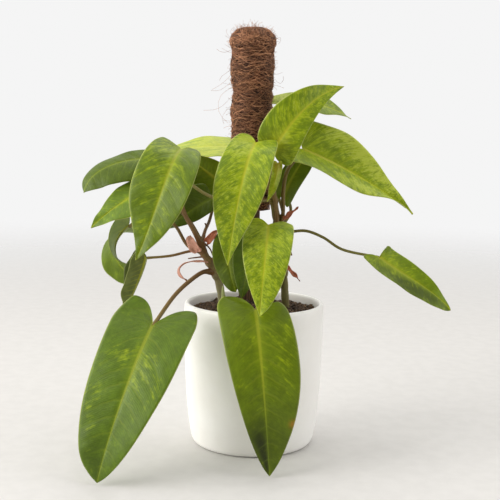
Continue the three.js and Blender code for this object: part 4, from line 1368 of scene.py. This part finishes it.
def wound_strands(draw, count):
    """Strands wound round the sleeve at many slants, weaving over and under, ends tucked in."""
    t = np.linspace(0, 1, STRAND_POINTS)
    low, high = SLEEVE_FOOT + 0.3, SLEEVE_BANDS[-1][0]
    runs = []
    for _ in range(count):
        span = draw.uniform(*WOUND_SPANS) * draw.choice((-1, 1))
        angle = draw.uniform(0, TURN) + span * t
        curl = draw.normal(0, WOUND_CURL)
        curl = curl * np.sin(TURN * (draw.uniform(*WOUND_CURLS) * t + draw.random()))
        start = draw.uniform(low, high + WOUND_STARTS_ABOVE)
        z = start + draw.normal(0, WOUND_SLANT) * span * (t - 0.5) + curl
        z = np.clip(z, low, high + WOUND_ENDS_ABOVE)
        lift = draw.random()
        stand = STRAND_LAYER * lift - WOUND_SUNK + weave(draw, t) - WOUND_TUCK * (2 * t - 1) ** 4
        leant = WOUND_LEAN * np.clip(z - high, 0, None)
        radius = sleeve_radius(np.minimum(z, high), angle) + stand - leant
        points = np.stack([SLEEVE_X + np.cos(angle) * radius, np.sin(angle) * radius, z], -1)
        # Painted shade: a strand that lies in a pinch gets a smaller depth, which its material paints
        # darker.
        middle = float(np.mean(np.minimum(z, high)))
        light = np.interp(sleeve_radius(middle, 0.0), PINCH_RADII, (PAINTED_PINCH_LIGHT, 1))
        runs.append((points, draw.uniform(*WOUND_RADII), lift * light))
    return runs


def cap_strands(draw, count):
    """Strands lying every way over the cap and bending down at its edge."""
    t = np.linspace(-0.5, 0.5, STRAND_POINTS)
    edge = SLEEVE_BANDS[-1][1]
    runs = []
    for _ in range(count):
        heading, turn = draw.uniform(0, TURN, 2)
        reach = draw.uniform(*CAP_LENGTHS)
        away = edge * math.sqrt(draw.uniform(0, 1))
        bow = draw.normal(0, CAP_BOW) * (1 - 4 * t * t)
        x = away * math.cos(turn) + reach * t * math.cos(heading) + bow * math.sin(heading)
        y = away * math.sin(turn) + reach * t * math.sin(heading) - bow * math.cos(heading)
        far = np.hypot(x, y)
        held = np.minimum(far, edge)
        lift = draw.random()
        z = dome_height(held / edge) + STRAND_LAYER * lift - CAP_SUNK + weave(draw, t)
        z = z - np.clip(far - held, 0, CAP_BEND)
        points = np.stack([SLEEVE_X + x * held / far, y * held / far, z], -1)
        runs.append((points, draw.uniform(*CAP_RADII), lift))
    return runs


def loose_hairs(draw, count):
    """Hairs that stand off the sleeve and the cap: short fuzz, and a few long and curled."""
    t = np.linspace(0, 1, HAIR_POINTS)[:, None]
    edge = SLEEVE_BANDS[-1][1]
    runs = []
    for _ in range(count):
        angle = draw.uniform(0, TURN)
        out = np.array([math.cos(angle), math.sin(angle), 0])
        if draw.random() < HAIRS_ON_CAP:
            share = math.sqrt(draw.uniform(0.02, 1))
            root = np.array([SLEEVE_X, 0, dome_height(share)]) + out * share * edge
            rise = unit(out * share + np.array([0, 0, CAP_HAIR_RISE]) + draw.normal(0, CAP_HAIR_STRAY, 3))
            length = min(draw.exponential(CAP_HAIR_EXTRA) + HAIR_SHORTEST, CAP_HAIR_LONGEST)
        else:
            height = draw.uniform(*HAIR_HEIGHTS)
            root = np.array([SLEEVE_X, 0, height]) + out * sleeve_radius(height, angle)
            along = np.array([-out[1], out[0], 0]) * draw.choice((-1, 1))
            lean = out * SIDE_HAIR_LEAN + along * SIDE_HAIR_LEAN
            rise = unit(lean + draw.normal(0, SIDE_HAIR_STRAY, 3))
            length = min(draw.exponential(SIDE_HAIR_EXTRA) + HAIR_SHORTEST, SIDE_HAIR_LONGEST)
        curl = unit(np.cross(rise, draw.normal(0, 1, 3)))
        bend = draw.uniform(*HAIR_BENDS) * length
        points = root - rise * HAIR_ROOT + rise * length * t + curl * bend * t * t
        points[:, 2] = np.minimum(points[:, 2], HAIR_TOP)
        runs.append((points, draw.uniform(*HAIR_RADII), 1.0))
    return runs


def make_coir_material(name, lift):
    """Coir fibre: each strand its own brown, with painted shade: pale where it lies outermost and dark where
    tucked in or lying in a pinch.
    """
    material, web, shader = new_material(name)
    shade, depth, _ = web.split(web.attribute("tone")["Color"])
    flecks = web.noise(web.object_place(), 1400, 2)
    colour = web.mix(shade, srgb(130, 74, 42), srgb(228, 164, 116))
    colour = web.mix(web.ramp(flecks, 0.4, 0.7, 0.0, 0.3), colour, srgb(224, 176, 134))
    # Painted shade: strands that lie deep, or in a pinch, are darkened towards near black.
    colour = web.mix(web.ramp(depth, 0.65, 0.1, 0.0, 0.85), colour, srgb(56, 29, 15))
    if lift:
        colour = web.mix(lift, colour, srgb(150, 112, 84))
    wire(web, shader, Base_Color=colour, Roughness=0.62, Normal=web.bump(flecks, 0.3, 0.0002))
    return material


def make_core_material():
    """Matted coir between the strands, painted near black as the shade between them."""
    material, web, shader = new_material("coir_matted_painted_shade")
    place = web.object_place()
    matted = web.noise(web.stretch(place, (1, 1, 3)), 420, 5, 0.7, 0.8)
    colour = web.mix(web.ramp(matted, 0.35, 0.7), srgb(34, 19, 11), srgb(74, 45, 28))
    wire(web, shader, Base_Color=colour, Roughness=0.95, Normal=web.bump(matted, 0.9, 0.0012))
    return material


def make_strands(name, runs, draw):
    """Thin strands as one piece, each with its own tone and its own depth in the sleeve, which its material
    turns into painted shade.
    """
    piece = make_tube(name, [(points, radius) for points, radius, depth in runs], 0)
    shade = draw.beta(1.1, 1.3, len(runs))
    depth = np.array([depth for points, radius, depth in runs])
    rows = np.stack([shade, depth, draw.random(len(runs)), np.ones(len(runs))], -1)
    set_tone(piece, "tone", np.repeat(rows, len(piece.data.vertices) // len(runs), axis=0))
    smooth(piece)
    return piece


def make_pole():
    """The coir sleeve: its core, the wound strands, the cap and the hairs that stand off."""
    draw = np.random.default_rng(SEED)
    finish_piece(make_core(), "coir", [make_core_material()], "coir_sleeve")
    fibre = make_coir_material("coir_strand", 0.0)
    wound = wound_strands(draw, WOUND_STRANDS)
    half = len(wound) // 2
    for name, runs in (
        ("coir_wound_inner", wound[:half]),
        ("coir_wound_outer", wound[half:]),
        ("coir_cap", cap_strands(draw, CAP_STRANDS)),
    ):
        finish_piece(make_strands(name, runs, draw), "coir", [fibre])
    hairs = loose_hairs(draw, LOOSE_HAIRS)
    for route in SHOWN_HAIRS:
        path = smooth_path(route, SHOWN_HAIR_STEP)
        stations = np.linspace(0, len(path) - 1, HAIR_POINTS)
        points = np.stack([np.interp(stations, range(len(path)), path[:, i]) for i in range(3)], -1)
        hairs.append((points, SHOWN_HAIR_RADIUS, 1.0))
    pale_fibre = make_coir_material("coir_hair", 0.3)
    finish_piece(make_strands("coir_hairs", hairs, draw), "coir", [pale_fibre])


def make_stake():
    """Round wooden stake with shallow grain grooves."""
    deselect()
    foot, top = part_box("pole_stake")
    middle = (POLE_X * MM, 0, (foot.z + top.z) / 2)
    bpy.ops.mesh.primitive_cylinder_add(
        vertices=STAKE_SIDES, radius=STAKE_RADIUS * MM, depth=top.z - foot.z, location=middle,
    )
    piece = new_piece("stake_wood")
    bpy.ops.object.transform_apply(location=True)
    bpy.ops.object.mode_set(mode="EDIT")
    bpy.ops.mesh.bevel(offset=STAKE_BEVEL * MM, segments=2)
    bpy.ops.object.mode_set(mode="OBJECT")
    places = get_places(piece)
    off = places[:, :2] - (POLE_X * MM, 0)
    angle = np.arctan2(off[:, 1], off[:, 0])
    groove = 1 - STAKE_GROOVE * np.abs(np.sin(angle * STAKE_GROOVES + 0.7 * np.sin(angle * 4)))
    places[:, :2] = (POLE_X * MM, 0) + off * groove[:, None]
    set_places(piece, places)
    smooth(piece, 40)
    material, web, shader = new_material("stake_bark")
    grain = web.noise(web.stretch(web.object_place(), (420, 420, 30)), 1.0, 5, 0.65, 0.5)
    colour = web.mix(web.ramp(grain, 0.3, 0.7), srgb(62, 42, 28), srgb(126, 92, 64))
    wire(web, shader, Base_Color=colour, Roughness=0.85, Normal=web.bump(grain, 0.7, 0.001))
    finish_piece(piece, "stake_wood", [material], "pole_stake")


# Pot and soil


def make_profile(outline, name, sides):
    """A body of revolution about the pot's axis, from an outline of radii and heights."""
    deselect()
    bpy.ops.mesh.primitive_circle_add(vertices=3, radius=0.01)
    piece = new_piece(name)
    data = piece.data
    data.clear_geometry()
    places = [(x * MM, 0, z * MM) for x, z in outline]
    edges = [(i, i + 1) for i in range(len(outline) - 1)]
    data.from_pydata(places, edges, [])
    activate(piece)
    bpy.ops.object.mode_set(mode="EDIT")
    bpy.ops.mesh.select_all(action="SELECT")
    bpy.ops.mesh.spin(steps=sides, angle=TURN, center=(0, 0, 0), axis=(0, 0, 1), use_auto_merge=True)
    bpy.ops.mesh.select_all(action="SELECT")
    bpy.ops.mesh.remove_doubles(threshold=0.01 * MM)
    bpy.ops.mesh.normals_make_consistent(inside=False)
    bpy.ops.object.mode_set(mode="OBJECT")
    return piece


def make_pot(grain):
    """The pot, turned from its outline, with a matt white glaze."""
    curve = smooth_path([(x, 0, z) for x, z in POT_CURVE], POT_STEP)
    outline = [*POT_FOOT, *((x, z) for x, y, z in curve), *POT_WELL]
    piece = make_profile(outline, "pot_glazed", POT_SIDES)
    smooth(piece, 50)
    material, web, shader = new_material("pot_matt_glaze")
    surface = web.place_group(grain, Place=web.object_place(), Coarse=22, Fine=700)
    colour = web.mix(surface["Mask"], srgb(243, 241, 237), srgb(248, 247, 244))
    rough = web.ramp(surface["Mask"], 0.0, 1.0, 0.34, 0.44)
    normal = web.bump(surface["Height"], 0.06, 0.0005)
    wire(web, shader, Base_Color=colour, Roughness=rough, Normal=normal, Specular_IOR_Level=0.4)
    finish_piece(piece, "pot_white", [material], "pot")


def soil_height(x, y):
    """Height of the soil in millimetres: level at the wall, mounded round the stake."""
    away = np.hypot(x - POLE_X, y) / SOIL_MOUND_REACH
    mound = SOIL_MOUND * np.exp(-away * away)
    broad = np.sin(x * 0.31 + y * 0.17) + np.sin(y * 0.37 - x * 0.11)
    return SOIL_HEIGHT + mound + SOIL_LUMP * (broad + np.sin(x * 0.7) * np.cos(y * 0.6))


def soil_crumble(x, y):
    """Small lumps on the soil, in millimetres."""
    first = np.sin(x * 1.9 + 2 * np.sin(y * 0.9)) * np.sin(y * 2.1 + 1.5 * np.sin(x * 1.1))
    second = np.sin(x * 4.3 + 3 * np.sin(y * 1.7)) * np.sin(y * 4.7 + 2 * np.sin(x * 2.3))
    return SOIL_CRUMBLE * first + SOIL_FINE_CRUMBLE * second


def make_soil_material():
    """Crumbly dark soil with light crumbs and dusty flecks."""
    material, web, shader = new_material("soil_crumbly")
    place = web.object_place()
    coarse = web.noise(place, 240, 5, 0.65)
    fine = web.noise(place, 1100, 3)
    shade = web.split(web.attribute("tone")["Color"])[0]
    colour = web.mix(web.ramp(coarse, 0.35, 0.7), srgb(38, 27, 20), srgb(88, 68, 52))
    colour = web.mix(web.math("MULTIPLY", shade, 0.75), colour, srgb(150, 122, 96))
    colour = web.mix(web.ramp(fine, 0.62, 0.75, 0.0, 0.5), colour, srgb(150, 132, 112))
    height = web.blend((coarse, 0.7), (fine, 0.3))
    wire(web, shader, Base_Color=colour, Roughness=0.95, Normal=web.bump(height, 0.8, 0.001))
    return material


def make_soil_bed():
    """The bed of soil: a filled body with a crumbly top."""
    rings = [(SOIL_RADIUS * (1 - i / SOIL_RINGS), SOIL_HEIGHT) for i in range(1, SOIL_RINGS + 1)]
    piece = make_profile([(0, SOIL_FLOOR), *SOIL_WALL, *rings], "soil_bed", SOIL_SIDES)
    places = get_places(piece) / MM
    top = places[:, 2] > SOIL_HEIGHT - 0.01
    x, y = places[:, 0], places[:, 1]
    edge = np.clip((SOIL_RADIUS - np.hypot(x, y)) / 3, 0, 1)
    places[top, 2] = (soil_height(x, y) + edge * soil_crumble(x, y) - SOIL_SINK)[top]
    set_places(piece, places * MM)
    set_tone(piece, "tone", np.tile([0.0, 0, 0, 1], (len(places), 1)))
    smooth(piece)
    return piece


def scatter(name, template, moves, shades):
    """Copies of a template's mesh, each turned, sized and placed, as one mesh."""
    shape = get_places(template)
    faces = [tuple(polygon.vertices) for polygon in template.data.polygons]
    count = len(shape)
    copies = [shape @ np.array(move.to_3x3()).T + np.array(move.translation) for move in moves]
    all_faces = [tuple(v + i * count for v in face) for i in range(len(moves)) for face in faces]
    data = template.data
    data.clear_geometry()
    data.from_pydata(np.concatenate(copies), [], all_faces)
    template.name = name
    data.name = name
    rows = np.stack([shades, shades, shades, np.ones(len(moves))], -1)
    set_tone(template, "tone", np.repeat(rows, count, axis=0))
    smooth(template, 60)
    return template


def random_turn(draw):
    axis = Vector(unit(draw.normal(0, 1, 3)))
    return Matrix.Rotation(draw.uniform(0, TURN), 4, axis)


def place_on_soil(draw, inset):
    """A place on the soil in millimetres, no nearer to the wall than the inset."""
    away, turn = (SOIL_RADIUS - inset) * math.sqrt(draw.random()), draw.uniform(0, TURN)
    return away * math.cos(turn), away * math.sin(turn)


def make_crumbs(draw):
    """Crumbs of soil over the bed: one crumb, modelled once and copied."""
    deselect()
    bpy.ops.mesh.primitive_ico_sphere_add(subdivisions=1, radius=1)
    crumb = new_piece("soil_crumb")
    shape = get_places(crumb)
    set_places(crumb, shape * (0.75 + 0.5 * draw.random((len(shape), 1))))
    moves = []
    for _ in range(CRUMBS):
        x, y = place_on_soil(draw, CRUMB_INSET)
        size = min(CRUMB_SMALLEST + draw.exponential(CRUMB_EXTRA), CRUMB_LARGEST)
        height = soil_height(x, y) + soil_crumble(x, y) - SOIL_SINK + size * draw.uniform(-0.1, 0.5)
        sizes = Matrix.Diagonal((*(size * draw.uniform(0.6, 1.2, 3) * MM), 1))
        moves.append(Matrix.Translation(Vector((x, y, height)) * MM) @ random_turn(draw) @ sizes)
    shades = draw.beta(1.2, 4, CRUMBS)
    return scatter("soil_crumbs", crumb, moves, shades)


def make_chips(draw):
    """Flat chips of bark and bits of coir on the soil."""
    deselect()
    bpy.ops.mesh.primitive_cube_add(size=1)
    chip = new_piece("soil_chip")
    bpy.ops.object.mode_set(mode="EDIT")
    bpy.ops.mesh.bevel(offset=0.12, segments=1)
    bpy.ops.object.mode_set(mode="OBJECT")
    shape = get_places(chip)
    set_places(chip, shape * (0.85 + 0.3 * draw.random((len(shape), 1))))
    moves = []
    for _ in range(CHIPS):
        x, y = place_on_soil(draw, CHIP_INSET)
        height = soil_height(x, y) + soil_crumble(x, y)
        size = np.array([draw.uniform(*CHIP_LENGTHS), draw.uniform(*CHIP_WIDTHS), CHIP_THICKNESS]) * MM
        sizes = Matrix.Diagonal((*size, 1))
        lean = Matrix.Rotation(draw.normal(0, CHIP_LEAN), 4, "Y")
        lean = lean @ Matrix.Rotation(draw.normal(0, CHIP_LEAN), 4, "X")
        heading = Matrix.Rotation(draw.uniform(0, TURN), 4, "Z")
        moves.append(Matrix.Translation(Vector((x, y, height)) * MM) @ heading @ lean @ sizes)
    return scatter("soil_chips", chip, moves, draw.uniform(0.3, 1, CHIPS))


def make_soil():
    draw = np.random.default_rng(SEED + 50)
    material = make_soil_material()
    finish_piece(make_soil_bed(), "soil_dark", [material], "soil")
    finish_piece(make_crumbs(draw), "soil_dark", [material])
    finish_piece(make_chips(draw), "soil_dark", [material])


# Studio


def make_floor():
    """Plain pale floor that fades out into the backdrop."""
    deselect()
    bpy.ops.mesh.primitive_circle_add(
        vertices=128, radius=FLOOR_RADIUS, fill_type="NGON", location=(0, 0, 0),
    )
    floor = new_piece("studio_floor")
    material, web, shader = new_material("studio_floor_paint")
    place = web.object_place()
    away = web.add("ShaderNodeVectorMath", {0: place}, operation="LENGTH").outputs["Value"]
    speck = web.noise(place, 60, 3)
    colour = web.mix(web.ramp(speck, 0.3, 0.7), srgb(206, 204, 201), srgb(210, 208, 205))
    wire(web, shader, Base_Color=colour, Roughness=0.7, Specular_IOR_Level=0.2)
    wire(web, shader, Alpha=web.ramp(away, FADE_END, FADE_START))
    floor.data.materials.append(material)


def add_area(name, place, aim, size, watts, colour):
    """A soft square light that faces a place."""
    data = bpy.data.lights.new(name, "AREA")
    data.shape = "SQUARE"
    data.size = size
    data.energy = watts
    data.color = colour
    light = bpy.data.objects.new(name, data)
    light.location = place
    light.rotation_euler = (Vector(aim) - Vector(place)).to_track_quat("-Z", "Y").to_euler()
    bpy.context.scene.collection.objects.link(light)


def make_air():
    """A pale backdrop, and air that lights the plant from the left, from above and from behind."""
    world = bpy.data.worlds.new("studio_air")
    world.use_nodes = True
    world.node_tree.nodes.clear()
    web = Web(world.node_tree)
    toward = web.add("ShaderNodeTexCoord").outputs["Generated"]
    x, y, z = web.add("ShaderNodeSeparateXYZ", {0: toward}).outputs
    level = web.math("ADD", web.ramp(y, -0.9, 0.5, 0.1, 0.85), web.ramp(x, 0.0, -0.9, 0.0, 0.4))
    level = web.math("ADD", level, web.ramp(z, 0.3, 0.95, 0.0, 0.35))
    air = web.add("ShaderNodeBackground", {"Color": (1, 0.99, 0.975, 1), "Strength": level})
    backdrop = web.add("ShaderNodeBackground", {"Color": srgb(246, 246, 246), "Strength": 0.99})
    seen = web.add("ShaderNodeLightPath").outputs["Is Camera Ray"]
    mixed = web.add("ShaderNodeMixShader", {0: seen, 1: air.outputs[0], 2: backdrop.outputs[0]})
    web.add("ShaderNodeOutputWorld", {"Surface": mixed.outputs[0]})
    bpy.context.scene.world = world


def light_studio():
    """Plain soft light: a large window to the left, a fill to the right, and a little from above."""
    bpy.context.scene.view_settings.view_transform = "Standard"
    make_air()
    add_area("window_light", (-1.7, -0.7, 0.9), (0, 0, 0.2), 1.4, 31, (1.0, 0.98, 0.95))
    add_area("side_fill", (1.7, -0.6, 0.8), (0, 0, 0.2), 1.2, 10, (1.0, 0.99, 0.97))
    add_area("top_light", (0.2, 0.3, 1.8), (0, 0, 0.2), 1.0, 7, (1.0, 0.99, 0.97))


def make_camera():
    """The photograph's viewpoint: pitched down and rolled a little."""
    data = bpy.data.cameras.new("front_camera")
    data.sensor_width = SENSOR * 1000
    data.lens = FOCAL_PIXELS / PHOTO_SIDE * SENSOR * 1000
    data.clip_start = 0.05
    camera = bpy.data.objects.new("front_camera", data)
    pitch, roll = math.radians(CAMERA_PITCH), math.radians(CAMERA_ROLL)
    ahead = Vector((0, math.cos(pitch), -math.sin(pitch)))
    up = Vector((0, math.sin(pitch), math.cos(pitch)))
    right = Vector((1, 0, 0))
    rolled_right = right * math.cos(roll) + up * math.sin(roll)
    rolled_up = up * math.cos(roll) - right * math.sin(roll)
    columns = Matrix((rolled_right, rolled_up, -ahead)).transposed()
    camera.matrix_world = Matrix.Translation(CAMERA_PLACE) @ columns.to_4x4()
    bpy.context.scene.collection.objects.link(camera)
    bpy.context.scene.camera = camera


make_camera()
light_studio()
make_floor()
grain_group = make_grain_group()
vein_group = make_vein_group()
make_pot(grain_group)
make_soil()
make_stake()
make_pole()
make_stems()
make_shoot()
make_sheaths()
make_leaves(vein_group)
